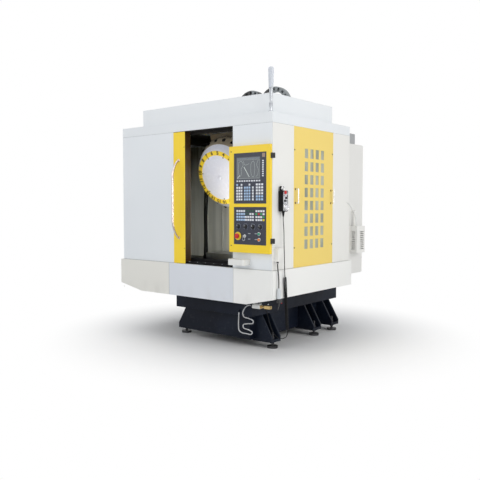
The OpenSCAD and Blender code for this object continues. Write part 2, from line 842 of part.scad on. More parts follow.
// Chip pan: floor of the work chamber, open over the saddle and seated on the base
pan_z = 735;
pan_x0 = xl + 38;
pan_x1 = xr - 32;
pan_y1 = column_y - 10;
well_x = saddle_w / 2 + 110;
rim_x0 = skirt_xl + ledge_in;
rim_x1 = skirt_xr - ledge_in;
rim_y0 = skirt_y + ledge_in;
module chip_pan() {
    color("#2c3033") {
        difference() {
            span([rim_x0, rim_y0, pan_z], [rim_x1, pan_y1, ledge_z - sheet]);
            span([rim_x0 + sheet, rim_y0 + sheet, pan_z + sheet], [rim_x1 - sheet, pan_y1 + 1, ledge_z]);
            span([-well_x, well_y0, pan_z - 1], [well_x, pan_y1 + 1, pan_z + sheet + 1]);
        }
        // walls of the well, standing on the base
        mirror_x()
            span([well_x - 0.5, well_y0, base_top], [well_x + sheet, pan_y1, pan_z + 1]);
        difference() {
            span([-well_x, well_y0, base_top], [well_x, well_y0 + sheet, pan_z + sheet]);
            rod_y(0, y_screw_z, well_y0 - 1, well_y0 + sheet + 1, screw_r + 3);
        }
        // front lip against the door track
        span([pan_x0, pan_y0, pan_z], [pan_x1, pan_y0 + sheet, wall_z0 + track_h]);
    }
}

// Splash sheets round the work chamber
liner_z1 = wall_z1 - 34;
module chamber_liner() {
    z0 = pan_z + sheet;
    color("#b9bebd") {
        for (x = [pan_x0, pan_x1 - sheet])
            span([x, pan_y0 + sheet, z0], [x + sheet, pan_y1, liner_z1]);
        difference() {
            span([pan_x0 + sheet, pan_y1 - sheet, z0], [pan_x1 - sheet, pan_y1, liner_z1]);
            span([-column_x, pan_y1 - sheet - 1, z0 - 1], [column_x, pan_y1 + 1, liner_z1 + 1]);
        }
        // folds that stiffen the back sheets
        for (x = [pan_x0 + 250, pan_x0 + 480, column_x + 120])
            span([x, pan_y1 - sheet - 14, z0], [x + 18, pan_y1 - sheet + 0.5, hose_top - 1]);
    }
}

// Two coolant hoses from the ceiling to the pan
hose_r = 11;
hose_top = wall_z1 - 40;
hose_a = [[-700, -40, hose_top], [-706, -42, 1800], [-728, -45, 1600], [-742, -48, 1400],
    [-744, -50, 1200], [-738, -52, 1000], [-740, -52, 860], [-742, -52, 772]];
hose_b = [[-650, -70, hose_top], [-658, -72, 1800], [-672, -74, 1600], [-684, -76, 1400],
    [-692, -78, 1200], [-688, -80, 1000], [-684, -80, 860], [-684, -80, 772]];
module coolant_hoses() {
    color("#17181a") {
        cord(hose_a, hose_r, [0, 1, 0], 6, 10);
        cord(hose_b, hose_r, [0, 1, 0], 6, 10);
        for (p = [hose_a[7], hose_b[7]])
            post(p[0], p[1], pan_z + sheet, p[2] + 0.5, hose_r + 5);
        // bracket on the back liner
        span([-730, -110, hose_top - 0.5], [-620, pan_y1 - sheet, hose_top + 4]);
    }
}

// Shelf tray under the operator panel
tray_x0 = 345;
tray_x1 = 530;
tray_z0 = 798;
tray_z1 = 852;
tray_out = 96;
module shelf_tray() {
    color("#e7e7e2")
        difference() {
            translate([(tray_x0 + tray_x1) / 2, yf - tray_out / 2 + 8, tray_z0])
                linear_extrude(tray_z1 - tray_z0)
                    intersection() {
                        round_rect(tray_x1 - tray_x0, tray_out + 16, 18);
                        translate([-200, -200])
                            square([400, 200 + tray_out / 2 - 8]);
                    }
            for (x = [tray_x0 + 12, (tray_x0 + tray_x1) / 2 + 4])
                span([x, yf - tray_out + 12, tray_z1 - 34],
                    [x + (tray_x1 - tray_x0) / 2 - 16, yf - 12, tray_z1 + 1]);
        }
}

// Signal lamp on the roof's front right corner
lamp_x = xr - 34;
lamp_y = yf + 24;
lens_z = 207;
lens_h = 177;
module signal_lamp() {
    color("#b9c0c8") {
        translate([lamp_x - 22, lamp_y - 16, roof_z])
            cube([44, 34, 4]);
        post(lamp_x, lamp_y, roof_z + 3, roof_z + 72, 16);
        translate([lamp_x, lamp_y, roof_z + 71])
            cylinder(h = 20, r1 = 16, r2 = 11);
        translate([lamp_x, lamp_y, roof_z + 90])
            cylinder(h = lens_z - 89, r1 = 11, r2 = 20);
    }
    color("#e3e4f2") {
        translate([lamp_x, lamp_y, roof_z + lens_z])
            rotate_extrude()
                polygon([[0, 0], [20, 0], [24, 130], [24, lens_h - 17], [20, lens_h - 5],
                    [10, lens_h], [0, lens_h]]);
    }
}

// Cable carrier: two bends of the chain that show above the raised cover, and a clamp
carrier_z = roof_z + cover_h;
chain_w = 48;
chain_t = 46;
chain_r = 149;
chain_windows = 9;
module chain_arc(x, y, rise) {
    translate([x, y + chain_w / 2, carrier_z])
        rotate([90, 0, 0])
            linear_extrude(chain_w)
                difference() {
                    translate([0, rise - chain_r - chain_t / 2])
                        difference() {
                            circle(r = chain_r + chain_t / 2);
                            circle(r = chain_r - chain_t / 2);
                            for (i = [1 : chain_windows])
                                rotate(180 * (i - 0.5) / chain_windows)
                                    translate([chain_r, 0])
                                        square(24, center = true);
                        }
                    translate([-2 * chain_r, -4 * chain_r])
                        square(4 * chain_r);
                }
}
front_arc = [285, -500, 103];
rear_arc = [495, -420, 128];
module cable_carrier() {
    color("#202224")
        chain_arc(front_arc[0], front_arc[1], front_arc[2]);
    color("#8b9094")
        chain_arc(rear_arc[0], rear_arc[1], rear_arc[2]);
}

// Electric cabinet behind the enclosure, with its rain cowl
cab_x1 = xr - cab_inset;
cab_x0 = cab_x1 - cab_w;
cab_y0 = yb + 8;
cab_y1 = cab_y0 + cab_d;
cab_z0 = base_top + 1;
cab_skin = 4;
cab_pin_r = 4;
cab_pin_x = cab_x0 + 14;
door_t = 22;
cab_pin_y = cab_y1 + door_t / 2 + 2;
plate_y = cab_y0 + 20;
stay_x = 180;
stay_w = 40;
stay_z = 1500;
stay_h = 60;
drive_count = 6;
drive_pitch = 165;
drive_size = [130, 177, 300];
relay_count = 9;
relay_pitch = 110;
relay_size = [80, 107, 140];
module electric_cabinet() {
    color("#dcdedb") {
        difference() {
            span([cab_x0, cab_y0, cab_z0], [cab_x1, cab_y1, cab_top]);
            span([cab_x0 + cab_skin, cab_y0 + cab_skin, cab_z0 + cab_skin],
                [cab_x1 - cab_skin, cab_y1 + 1, cab_top - cab_skin]);
        }
        // seat on the base and brackets to the back of the column
        span([-flange_x + 20, column_y + column_d + 5, base_top], [flange_x - 20, cab_y1 - 160, cab_z0 + 0.5]);
        for (side = [-1, 1])
            span([side * stay_x - stay_w / 2, column_y + column_d, stay_z],
                [side * stay_x + stay_w / 2, cab_y0 + 1, stay_z + stay_h]);
        // device plate with rows of modules
        span([cab_x0 + 60, plate_y, cab_z0 + 120], [cab_x1 - 60, plate_y + 4, cab_top - 120]);
        for (x = [cab_x0 + 220, cab_x1 - 220])
            span([x - stay_w / 2, cab_y0 + 3, cab_z0 + 300], [x + stay_w / 2, plate_y + 1, cab_z0 + 340]);
        for (i = [0 : drive_count - 1])
            translate([cab_x0 + 110 + i * drive_pitch, plate_y + 3, cab_z0 + 700])
                cube(drive_size);
        for (i = [0 : relay_count - 1])
            translate([cab_x0 + 110 + i * relay_pitch, plate_y + 3, cab_z0 + 330])
                cube(relay_size);
        // cowl
        translate([cab_x1 - 120, cab_y0 + 216, cab_top - 1])
            linear_extrude(113)
                round_rect(200, 158, 30);
        // hinge pins for the door
        for (z = [cab_z0 + 160, cab_top - 160]) {
            post(cab_pin_x, cab_pin_y, z - 40, z + 40, cab_pin_r);
            for (e = [-1, 1])
                span([cab_pin_x - 8, cab_y1 - 1, z + e * 34 - 5], [cab_pin_x + 8, cab_pin_y + 8, z + e * 34 + 5]);
        }
    }
}

// Door of the cabinet, with knuckles on the pins and an air grille
cab_seam = 0.5;
switch_x = cab_x1 - 90;
switch_z = 1500;
module cabinet_door() {
    y0 = cab_y1 + cab_seam;
    color("#dcdedb")
        difference() {
            union() {
                span([cab_pin_x + 12, y0, cab_z0 + 6], [cab_x1 - 4, y0 + door_t, cab_top - 6]);
                for (z = [cab_z0 + 160, cab_top - 160])
                    post(cab_pin_x, cab_pin_y, z - 28, z + 28, 9);
                for (z = [cab_z0 + 160, cab_top - 160])
                    span([cab_pin_x, cab_pin_y - 6, z - 28], [cab_pin_x + 13, cab_pin_y + 6, z + 28]);
            }
            for (z = [cab_z0 + 160, cab_top - 160])
                post(cab_pin_x, cab_pin_y, z - 42, z + 42, cab_pin_r + pin_gap);
            for (i = [0 : 9])
                span([cab_x0 + 200, y0 - 1, cab_z0 + 110 + i * 18],
                    [cab_x0 + 420, y0 + door_t + 1, cab_z0 + 118 + i * 18]);
            rod_y(switch_x, switch_z, y0 - 1, y0 + door_t + 1, 12.1);
        }
}

// Rotary main switch in the cabinet door
module main_switch() {
    y0 = cab_y1 + cab_seam;
    color("#c62018") {
        rod_y(switch_x, switch_z, y0 + 2, y0 + door_t + 0.9, 12);
        rod_y(switch_x, switch_z, y0 + door_t + 0.3, y0 + door_t + 14, 32);
        block_y(switch_x, switch_z, 18, 60, 6, y0 + door_t + 13, y0 + door_t + 34);
    }
}

// Small louvred transformer box beside the cabinet, with its conduit
tbox_w = 86;
tbox_y0 = cab_y0 + 145;
tbox_d = 175;
tbox_z0 = 830;
tbox_h = 282;
module transformer_box() {
    x0 = cab_x1;
    color("#e2e2de") {
        difference() {
            span([x0, tbox_y0, tbox_z0], [x0 + tbox_w, tbox_y0 + tbox_d, tbox_z0 + tbox_h]);
            span([x0 + 4, tbox_y0 + 4, tbox_z0 + 4], [x0 + tbox_w - 4, tbox_y0 + tbox_d - 4, tbox_z0 + tbox_h - 4]);
            for (i = [0 : 9]) {
                span([x0 + 22, tbox_y0 - 1, tbox_z0 + 36 + i * 20], [x0 + 64, tbox_y0 + 5, tbox_z0 + 45 + i * 20]);
                span([x0 + tbox_w - 5, tbox_y0 + 70, tbox_z0 + 36 + i * 20],
                    [x0 + tbox_w + 1, tbox_y0 + 150, tbox_z0 + 45 + i * 20]);
            }
        }
        // windings inside
        span([x0 + 14, tbox_y0 + 40, tbox_z0 + 3], [x0 + 70, tbox_y0 + 130, tbox_z0 + 110]);
    }
    color("#d6d8d8") {
        post(x0 + 30, tbox_y0 + 40, tbox_z0 + tbox_h - 1, tbox_z0 + tbox_h + 160, 12);
        rod_x(tbox_y0 + 40, tbox_z0 + tbox_h + 160, x0, x0 + 42, 12);
    }
}

// Air valve block on a bracket under the front skirt
valve_z0 = 404;
valve_y0 = -805;
fitting_x = 498;
recoil_y = valve_y0 + 22;
module valve_block() {
    y0 = valve_y0;
    color("#dfe2df") {
        block_y(566, valve_z0 + 18, 92, 32, 4, y0, y0 + 44);
        span([530, y0 + 10, valve_z0 + 33], [600, y0 + 40, valve_z0 + 44]);
        span([430, y0 + 14, valve_z0 + 40], [600, base_y0, valve_z0 + 46]);
    }
    color("#a58a4c") {
        span([655, y0 + 4, valve_z0 + 8], [715, y0 + 40, valve_z0 + 36]);
        rod_x(y0 + 22, valve_z0 + 20, 611, 656, 10);
    }
    color("#17181a")
        rod_x(recoil_y, valve_z0 + 18, fitting_x, 521, 9);
}

// Clear recoil hose from the valve block to the inlet on the base's flange
recoil_r = 5;
recoil_route = [[fitting_x, recoil_y, valve_z0 + 18], [470, recoil_y, valve_z0 + 18], [430, recoil_y - 3, 400],
    [402, recoil_y - 6, 350], [420, recoil_y - 10, 312], [480, recoil_y - 12, 304],
    [524, recoil_y - 10, 290], [515, recoil_y - 4, 262], [460, recoil_y, 252],
    [408, recoil_y - 2, 238], [415, recoil_y - 8, 208], [470, recoil_y - 12, 200],
    [512, recoil_y - 10, 185], [500, recoil_y - 6, 160], [440, recoil_y - 2, 158],
    [385, recoil_y, 160], [352, recoil_y, 182], [345, recoil_y + 2, 230],
    [inlet_x, inlet_y, 300], [inlet_x, inlet_y, inlet_z]];
module recoil_hose() {
    color("#cfd8dc")
        cord(recoil_route, recoil_r, [0, 1, 0], 4, 8);
}

// Hanging pendant: body, cable, curly part and its moving controls
pend_y = -720;
pend_z0 = 1278;
pend_h = 184;
pend_w = 78;
pend_t = 44;
pend_x = xr + 8;
pend_face = pend_x + pend_t;
stop_y = pend_y - 12;
stop_z = pend_z0 + 168;
axis_y = pend_y + 5;
axis_z = pend_z0 + 120;
step_y = pend_y - 12;
step_z = pend_z0 + 94;
wheel_y = pend_y + 3;
wheel_z = pend_z0 + 40;
module pendant_body() {
    color("#2a2d31")
        difference() {
            union() {
                block_x(pend_y, pend_z0 + pend_h / 2, pend_w, pend_h, 14, pend_x, pend_face);
                // hanger plate with its eye over the hook
                block_x(hook_y + 8, hook_z - 12, 44, 60, 12, pend_x + 4, pend_x + 12);
                translate([pend_x + 22, pend_y, pend_z0 - 45])
                    cylinder(h = 46, r1 = 6, r2 = 13);
            }
            rod_x(hook_y, hook_z, pend_x, pend_x + 16, 4.4);
            rod_x(stop_y, stop_z, pend_face - 8, pend_face + 1, 9.1);
            rod_x(axis_y, axis_z, pend_face - 8, pend_face + 1, 6.1);
            rod_x(step_y, step_z, pend_face - 8, pend_face + 1, 6.1);
            rod_x(wheel_y, wheel_z, pend_face - 8, pend_face + 1, 8.05);
        }
}
module pendant_stop() {
    color("#d32020") {
        rod_x(stop_y, stop_z, pend_face - 3, pend_face + 4.5, 9);
        rod_x(stop_y, stop_z, pend_face + 4, pend_face + 14, 13);
    }
}
module small_knob(y, z) {
    rod_x(y, z, pend_face - 7, pend_face + 1, 6);
    rod_x(y, z, pend_face + 0.3, pend_face + 11, 11);
    block_x(y, z, 5, 20, 2, pend_face + 10, pend_face + 16);
}
module pendant_axis_knob() {
    color("#141516")
        small_knob(axis_y, axis_z);
}
module pendant_step_knob() {
    color("#141516")
        small_knob(step_y, step_z);
}
module pendant_wheel() {
    color("#c7cbd0") {
        rod_x(wheel_y, wheel_z, pend_face - 7, pend_face + 1, 8);
        rod_x(wheel_y, wheel_z, pend_face + 0.3, pend_face + 12, 33);
        rod_x(wheel_y + 22, wheel_z, pend_face + 11, pend_face + 26, 6);
    }
}

// Cable of the pendant: straight part, curly part and the tail to the gland on the base
cable_r = 3.5;
curl_r = 16;
cable_x = pend_x + 22;
curl_top = [812, -705, 705];
curl_low = [812, -664, 225];
cable_route = [[cable_x, pend_y, pend_z0 - 45], [cable_x, pend_y, 1200], [803, -711, 1100],
    [806, -710, 960], [810, -710, 840], [812, -709.7, 760], curl_top];
tail_route = [curl_low, [812, -661, 190], [790, -656, 152], [745, -650, 130],
    [695, -648, 134], [645, -646, 170], [610, -645, 235], [585, -645, 310], [560, -645, 372],
    [530, gland_y, gland_z], [flange_x + gland_len, gland_y, gland_z]];
module pendant_cable() {
    color("#1b1c1e") {
        cord(cable_route, cable_r, [0, 1, 0], 5, 8);
        cord(tail_route, cable_r, [0, 1, 0], 5, 8);
    }
}
module pendant_curl() {
    slope = atan2(curl_low[1] - curl_top[1], curl_top[2] - curl_low[2]);
    color("#1b1c1e")
        translate(curl_low)
            rotate([slope, 0, 0])
                cylinder(h = norm(curl_top - curl_low), r = curl_r);
}

// Air gun that hangs at the pocket on its short hose
gun_x = 814;
gun_y = -802;
gun_top = 610;
hose_route = [[hose_x, hose_y, hose_z], [hose_x, hose_y, 802], [806, -801, 765], [810, -800, 720],
    [gun_x, gun_y + 2, 670], [gun_x, gun_y + 2, gun_top]];
module air_hose() {
    color("#17181a")
        cord(hose_route, 5, [0, 1, 0], 5, 8);
}
trigger_y = gun_y + 34;
trigger_z = gun_top - 108;
module blow_gun() {
    color("#dfe3e4") {
        translate([gun_x, gun_y + 2, gun_top - 16])
            cylinder(h = 16, r1 = 12, r2 = 9);
        post(gun_x, gun_y + 2, gun_top - 92, gun_top - 15, 17);
    }
    color("#1b1c1e")
        difference() {
            union() {
                block_x(gun_y + 12, gun_top - 110, 52, 40, 8, gun_x - 13, gun_x + 13);
                translate([gun_x, gun_y + 14, gun_top - 129])
                    rotate([160, 0, 0])
                        cylinder(h = 66, r1 = 7, r2 = 3);
            }
            span([gun_x - 6, trigger_y - 8, trigger_z - 22], [gun_x + 6, trigger_y + 20, trigger_z + 22]);
        }
    color("#8a8f94")
        rod_x(trigger_y - 1, trigger_z + 8, gun_x - 6.5, gun_x + 6.5, 2);
}
module gun_trigger() {
    color("#b8301c")
        difference() {
            union() {
                block_x(trigger_y, trigger_z + 4, 9, 20, 3, gun_x - 5.5, gun_x + 5.5);
                plate_yz([[trigger_y, trigger_z + 6], [trigger_y + 14, trigger_z - 26],
                    [trigger_y + 9, trigger_z - 30], [trigger_y - 3, trigger_z - 4]],
                    gun_x - 5.5, gun_x + 5.5);
            }
            rod_x(trigger_y - 1, trigger_z + 8, gun_x - 7, gun_x + 7, 2.05);
        }
}

// Sliding front door: edge post, leaf, window and bow handle
leaf_x0 = xl + 130;
leaf_x1 = open_x0 + 1;
window_w = 480;
window_z0 = 1080;
window_z1 = 1900;
window_x = (leaf_x0 + leaf_x1) / 2;
post_x0 = open_x0 + 1;
post_x1 = post_x0 + post_w;
leaf_z0 = door_z0 + sheet;
leaf_z1 = door_z1 - sheet;
module door_post() {
    color("#f0cf30")
        difference() {
            union() {
                span([post_x0, yf, door_z0], [post_x1, yf + post_d, door_z1]);
                span([post_x0, yf, wall_z0 + 1], [post_x1, yf + sheet, door_z1]);
            }
            span([post_x0 - 1, yf + sheet, leaf_z0], [post_x1 - sheet, yf + post_d - sheet, leaf_z1]);
        }
}
module door_leaf() {
    color("#d9dddf")
        difference() {
            span([leaf_x0, leaf_y0, leaf_z0], [post_x1 - sheet, leaf_y0 + leaf_t, leaf_z1]);
            span([window_x - window_w / 2, leaf_y0 - 1, window_z0],
                [window_x + window_w / 2, leaf_y0 + leaf_t + 1, window_z1]);
        }
}
module door_window() {
    color("#5a6a70")
        span([window_x - window_w / 2, leaf_y0 + 8, window_z0],
            [window_x + window_w / 2, leaf_y0 + 16, window_z1]);
}
door_handle_x = post_x0 + 71;
door_handle_z = 1392;
module door_handle() {
    r = handle_dia / 2;
    z0 = door_handle_z - door_handle_len / 2;
    z1 = door_handle_z + door_handle_len / 2;
    y_bar = yf - door_handle_out;
    bend = 110;
    color("#d5d8dc") {
        post(door_handle_x, y_bar, z0 + bend, z1 - bend, r);
        bar(door_handle_x, y_bar, z0 + bend, yf - r, z0, r);
        bar(door_handle_x, y_bar, z1 - bend, yf - r, z1, r);
        for (z = [z0, z1])
            rod_y(door_handle_x, z, yf - r - 5, yf, r + 3);
        for (z = [z0 + bend, z1 - bend])
            translate([door_handle_x, y_bar, z])
                sphere(r = r);
    }
}
// A round bar in the YZ plane from (y0, z0) to (y1, z1)
module bar(x, y0, z0, y1, z1, r) {
    length = norm([y1 - y0, z1 - z0]);
    translate([x, y0, z0])
        rotate([-atan2(y1 - y0, z1 - z0), 0, 0])
            cylinder(h = length, r = r);
}

// Operator panel: frame with two pockets, the box behind it and hinge knuckles
pocket_d = 12;
insert_t = 10;
upper_x0 = panel_x0 + 55;
upper_x1 = panel_x1 - 41;
upper_z0 = panel_z + 438;
upper_z1 = panel_z + 886;
lower_z0 = panel_z + 73;
lower_z1 = panel_z + 408;
fit = 0.3;
module panel_frame() {
    color("#f0cf30")
        difference() {
            union() {
                block_y((panel_x0 + panel_x1) / 2, panel_z + panel_h / 2, panel_w, panel_h, 6,
                    panel_y0, panel_y1);
                span([box_x0, panel_y1 - 1, box_z0], [box_x1, panel_y1 + box_d, box_z1]);
                for (z = hinge_z) {
                    post(pin_x, pin_y, z - 14, z + 14, 7);
                    span([panel_x1 - 7, pin_y - 5, z - 14], [pin_x, pin_y + 5, z + 14]);
                }
            }
            for (z = hinge_z)
                post(pin_x, pin_y, z - 16, z + 16, pin_r + pin_gap);
            for (z = hinge_z)
                for (e = [-1, 1])
                    post(pin_x, pin_y, z + e * 19 - 4.6, z + e * 19 + 4.6, 7.6);
            span([upper_x0 - fit, panel_y0 - 1, upper_z0 - fit],
                [upper_x1 + fit, panel_y0 + pocket_d, upper_z1 + fit]);
            span([upper_x0 - fit, panel_y0 - 1, lower_z0 - fit],
                [upper_x1 + fit, panel_y0 + pocket_d, lower_z1 + fit]);
            // inside of the control box
            span([box_x0 + 4, panel_y0 + pocket_d + 6, box_z0 + 4],
                [box_x1 - 4, panel_y1 + box_d - 4, box_z1 - 4]);
            // cable outlet
            rod_y(box_x1 - 60, box_z0 + 60, panel_y1 + box_d - 6, panel_y1 + box_d + 1, 16);
        }
}

// Screen unit with its bezel, recessed screen and soft keys
insert_y1 = panel_y0 + pocket_d;
insert_y0 = insert_y1 - insert_t;
screen_w = 270;
screen_h = 196;
screen_x0 = 392;
screen_x1 = screen_x0 + screen_w;
screen_z0 = panel_z + 652;
screen_z1 = screen_z0 + screen_h;
module display_unit() {
    color("#20242e")
        difference() {
            span([upper_x0, insert_y0, upper_z0], [upper_x1, insert_y1, upper_z1]);
            span([screen_x0, insert_y0 - 1, screen_z0], [screen_x1, insert_y0 + 4, screen_z1]);
        }
    color("#c8c2ae")
        span([693, insert_y0 - 2, panel_z + 836], [712, insert_y0 + 0.5, panel_z + 856]);
}

// Lower board with the holes for its controls and the collar of the stop button
knob_x = [419, 502, 585, 666];
knob_z = panel_z + 234;
estop_x = 416;
estop_z = panel_z + 148;
key_x = 494;
key_z = panel_z + 148;
push_x = 654;
start_z = panel_z + 172;
hold_z = panel_z + 121;
stem_r = 8;
stem_gap = 0.1;
module control_board() {
    holes = [for (x = knob_x) [x, knob_z]];
    pushes = [[estop_x, estop_z], [key_x, key_z], [push_x, start_z], [push_x, hold_z]];
    color("#20242e")
        difference() {
            union() {
                span([upper_x0, insert_y0, lower_z0], [upper_x1, insert_y1, lower_z1]);
                rod_y(estop_x, estop_z, insert_y0 - 3, insert_y0 + 1, 36);
                rod_y(key_x, key_z, insert_y0 - 2, insert_y0 + 1, 15);
                rod_y(push_x, start_z, insert_y0 - 3, insert_y0 + 1, 16);
                rod_y(push_x, hold_z, insert_y0 - 3, insert_y0 + 1, 16);
            }
            for (h = concat(holes, pushes))
                rod_y(h[0], h[1], insert_y0 - 4, insert_y1 - 1, stem_r + stem_gap);
        }
}

// Rubber key mats of both boards, with the keys on them
key = 17;
key_gap = 25;
mat_t = 2;
module key_row(x0, z, n, pitch, w, h) {
    for (i = [0 : n - 1])
        block_y(x0 + i * pitch, z, w, h, 3, insert_y0 - mat_t - 2, insert_y0 - mat_t + 0.5);
}
module mat(x0, x1, z0, z1) {
    span([x0, insert_y0 - mat_t, z0], [x1, insert_y0, z1]);
}
module keypads() {
    row_z = [for (i = [0 : 5]) panel_z + 605 - i * 26];
    low_z = [for (i = [0 : 3]) panel_z + 372 - i * 26];
    color("#e8eaee") {
        // soft keys under and beside the screen
        mat(396, 668, panel_z + 628, panel_z + 648);
        key_row(408, panel_z + 638, 10, 27.5, 18, 14);
        mat(682, 706, panel_z + 668, panel_z + 822);
        for (i = [0 : 7])
            key_row(694, panel_z + 680 + i * 18.5, 1, 1, 18, 12);
        // letters, numbers and cursor keys; the top row holds only some of them
        mat(392, 470, panel_z + 462, panel_z + 618);
        mat(480, 560, panel_z + 462, panel_z + 618);
        mat(568, 600, panel_z + 462, panel_z + 592);
        mat(612, 704, panel_z + 462, panel_z + 618);
        key_row(406, row_z[0], 2, 2 * key_gap, key, key);
        key_row(546, row_z[0], 1, key_gap, key, key);
        for (i = [1 : 5]) {
            key_row(406, row_z[i], 3, key_gap, key, key);
            key_row(494, row_z[i], 3, key_gap + 1, key, key);
            key_row(584, row_z[i], 1, key_gap, key, key);
        }
        for (z = row_z)
            key_row(628, z, 3, key_gap + 4, key, key);
        // machine keys in three groups
        mat(396, 496, panel_z + 278, panel_z + 388);
        mat(498, 592, panel_z + 278, panel_z + 362);
        mat(612, 714, panel_z + 278, panel_z + 388);
        for (z = low_z) {
            key_row(408, z, 4, key_gap, key, key);
            key_row(624, z, 4, key_gap + 1, key, key);
        }
        key_row(557, low_z[1], 2, key_gap, key, key);
        for (i = [2, 3])
            key_row(507, low_z[i], 4, key_gap, key, key);
    }
}

// Controls: each has a stem in the board
module stem(x, z) {
    rod_y(x, z, insert_y0 - 3.5, insert_y1 - 6, stem_r);
}
module knob(x, z) {
    color("#17181b") {
        stem(x, z);
        rod_y(x, z, insert_y0 - 14, insert_y0 - 0.3, 17);
        block_y(x, z, 8, 30, 3, insert_y0 - 22, insert_y0 - 13);
    }
}
module jog_knob() { knob(knob_x[0], knob_z); }
module feed_knob() { knob(knob_x[1], knob_z); }
module rapid_knob() { knob(knob_x[2], knob_z); }
module spindle_knob() { knob(knob_x[3], knob_z); }
module estop_button() {
    color("#d01c1c") {
        stem(estop_x, estop_z);
        rod_y(estop_x, estop_z, insert_y0 - 9, insert_y0 - 3, stem_r);
        rod_y(estop_x, estop_z, insert_y0 - 14, insert_y0 - 8, 12);
        rod_y(estop_x, estop_z, insert_y0 - 28, insert_y0 - 13, 24);
    }
}
module key_switch() {
    color("#c9ccd0") {
        stem(key_x, key_z);
        rod_y(key_x, key_z, insert_y0 - 8, insert_y0 - 2.3, 12);
        block_y(key_x, key_z, 5, 24, 2, insert_y0 - 28, insert_y0 - 7);
    }
}
module push_button(z) {
    stem(push_x, z);
    rod_y(push_x, z, insert_y0 - 9, insert_y0 - 3.4, 7.9);
    rod_y(push_x, z, insert_y0 - 14, insert_y0 - 8.5, 12);
}
module start_button() {
    color("#2fae54")
        push_button(start_z);
}
module hold_button() {
    color("#e07a26")
        push_button(hold_z);
}

base_casting();
levelling_feet();
column();
axis_drives();
front_panels();
right_side_panel();
left_side_panel();
back_panel();
roof_panel();
roof_cover();
service_panel();
service_handles();
skirts();
door_tracks();
chip_pan();
chamber_liner();
coolant_hoses();
shelf_tray();
signal_lamp();
cable_carrier();
electric_cabinet();
transformer_box();
valve_block();
pendant_body();
pendant_cable();
pendant_curl();
air_hose();
blow_gun();
recoil_hose();
pendant_wheel();
pendant_axis_knob();
pendant_step_knob();
pendant_stop();
gun_trigger();
cabinet_door();
main_switch();
saddle();
work_table();
head_casting();
spindle_shaft();
spindle_motor();
turret_arm();
turret_cover();
turret_carrier();
door_post();
door_leaf();
door_window();
door_handle();
panel_frame();
display_unit();
control_board();
keypads();
estop_button();
jog_knob();
feed_knob();
rapid_knob();
spindle_knob();
key_switch();
start_button();
hold_button();
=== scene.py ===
# %% [markdown]
# A vertical machining centre, dressed over its CAD model.
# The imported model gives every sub-part at its true place, in metres. This script keeps those
# solids, gives each a worked-out finish, and adds the pieces that are easier to draw as curved
# surfaces: bent bars, hoses, a turned magazine face, keys, knobs and screws.

import bmesh
import bpy
import numpy as np
from mathutils import Matrix, Vector


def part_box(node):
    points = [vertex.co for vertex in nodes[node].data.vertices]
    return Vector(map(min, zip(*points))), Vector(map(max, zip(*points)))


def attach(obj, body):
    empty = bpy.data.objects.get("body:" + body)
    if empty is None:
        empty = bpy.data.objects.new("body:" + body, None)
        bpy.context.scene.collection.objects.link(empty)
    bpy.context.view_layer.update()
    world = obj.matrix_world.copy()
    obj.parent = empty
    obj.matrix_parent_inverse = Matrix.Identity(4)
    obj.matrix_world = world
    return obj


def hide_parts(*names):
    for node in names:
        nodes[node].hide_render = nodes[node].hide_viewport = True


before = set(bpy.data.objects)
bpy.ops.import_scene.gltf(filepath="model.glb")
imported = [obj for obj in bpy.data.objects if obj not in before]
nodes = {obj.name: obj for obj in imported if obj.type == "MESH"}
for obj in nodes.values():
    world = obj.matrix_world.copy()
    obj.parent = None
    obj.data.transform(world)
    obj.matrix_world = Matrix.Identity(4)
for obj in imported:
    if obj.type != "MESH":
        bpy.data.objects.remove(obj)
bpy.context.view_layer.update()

# %% [markdown]
# The camera comes first, because every later choice of detail depends on what it sees.
# The photograph has two vanishing directions and upright verticals, which fixes the camera's
# place, heading and lens. Its axes go into a matrix as columns: right, up and backwards.

# %% Camera
scene = bpy.context.scene
eye = Vector((3.858, -5.081, 1.330))
heading, pitch, roll = np.radians([39.110, 3.252, 0.026])
forward = np.array([-np.sin(heading) * np.cos(pitch), np.cos(heading) * np.cos(pitch), -np.sin(pitch)])
flat_right = np.array([np.cos(heading), np.sin(heading), 0.0])
flat_up = np.cross(flat_right, forward)
right = np.cos(roll) * flat_right + np.sin(roll) * flat_up
up = np.cos(roll) * flat_up - np.sin(roll) * flat_right
camera = bpy.data.objects.new("camera", bpy.data.cameras.new("camera"))
camera.data.sensor_width = 36.0
camera.data.lens = 45.356
camera.data.clip_end = 60.0
turn = np.eye(4)
turn[:3, :3] = np.column_stack([right, up, -forward])
camera.matrix_world = Matrix.Translation(eye) @ Matrix(turn.tolist())
scene.collection.objects.link(camera)
scene.camera = camera
print("camera at", tuple(round(x, 3) for x in eye), "lens", camera.data.lens)

# %% [markdown]
# Surfaces are arrays. A shape here is a pair: points as an (n, 3) array, and faces as lists of
# point numbers. A grid of points becomes quads, and everything round is a grid: a lathe turns a
# profile about an axis, and a tube carries a ring along a path. The alternative, adding
# Blender's ready-made primitives and moving them, hides the sizes inside transforms.
# Lengths are in metres. Turned profiles, routes and keys are easier to read in millimetres, so
# mm() turns a list of those into metres.

# %% Shapes as arrays
def mm(lengths):
    """Millimetres as metres, rounded so that 33.6 gives the very number 0.0336."""
    return np.round(np.asarray(lengths, float) * 0.001, 7)


def join(*shapes):
    """Several shapes as one: points are stacked and face numbers shifted by the points before."""
    points, faces, start = [], [], 0
    for p, f in shapes:
        points.append(np.asarray(p, float))
        faces += [[i + start for i in face] for face in f]
        start += len(p)
    return np.vstack(points), faces


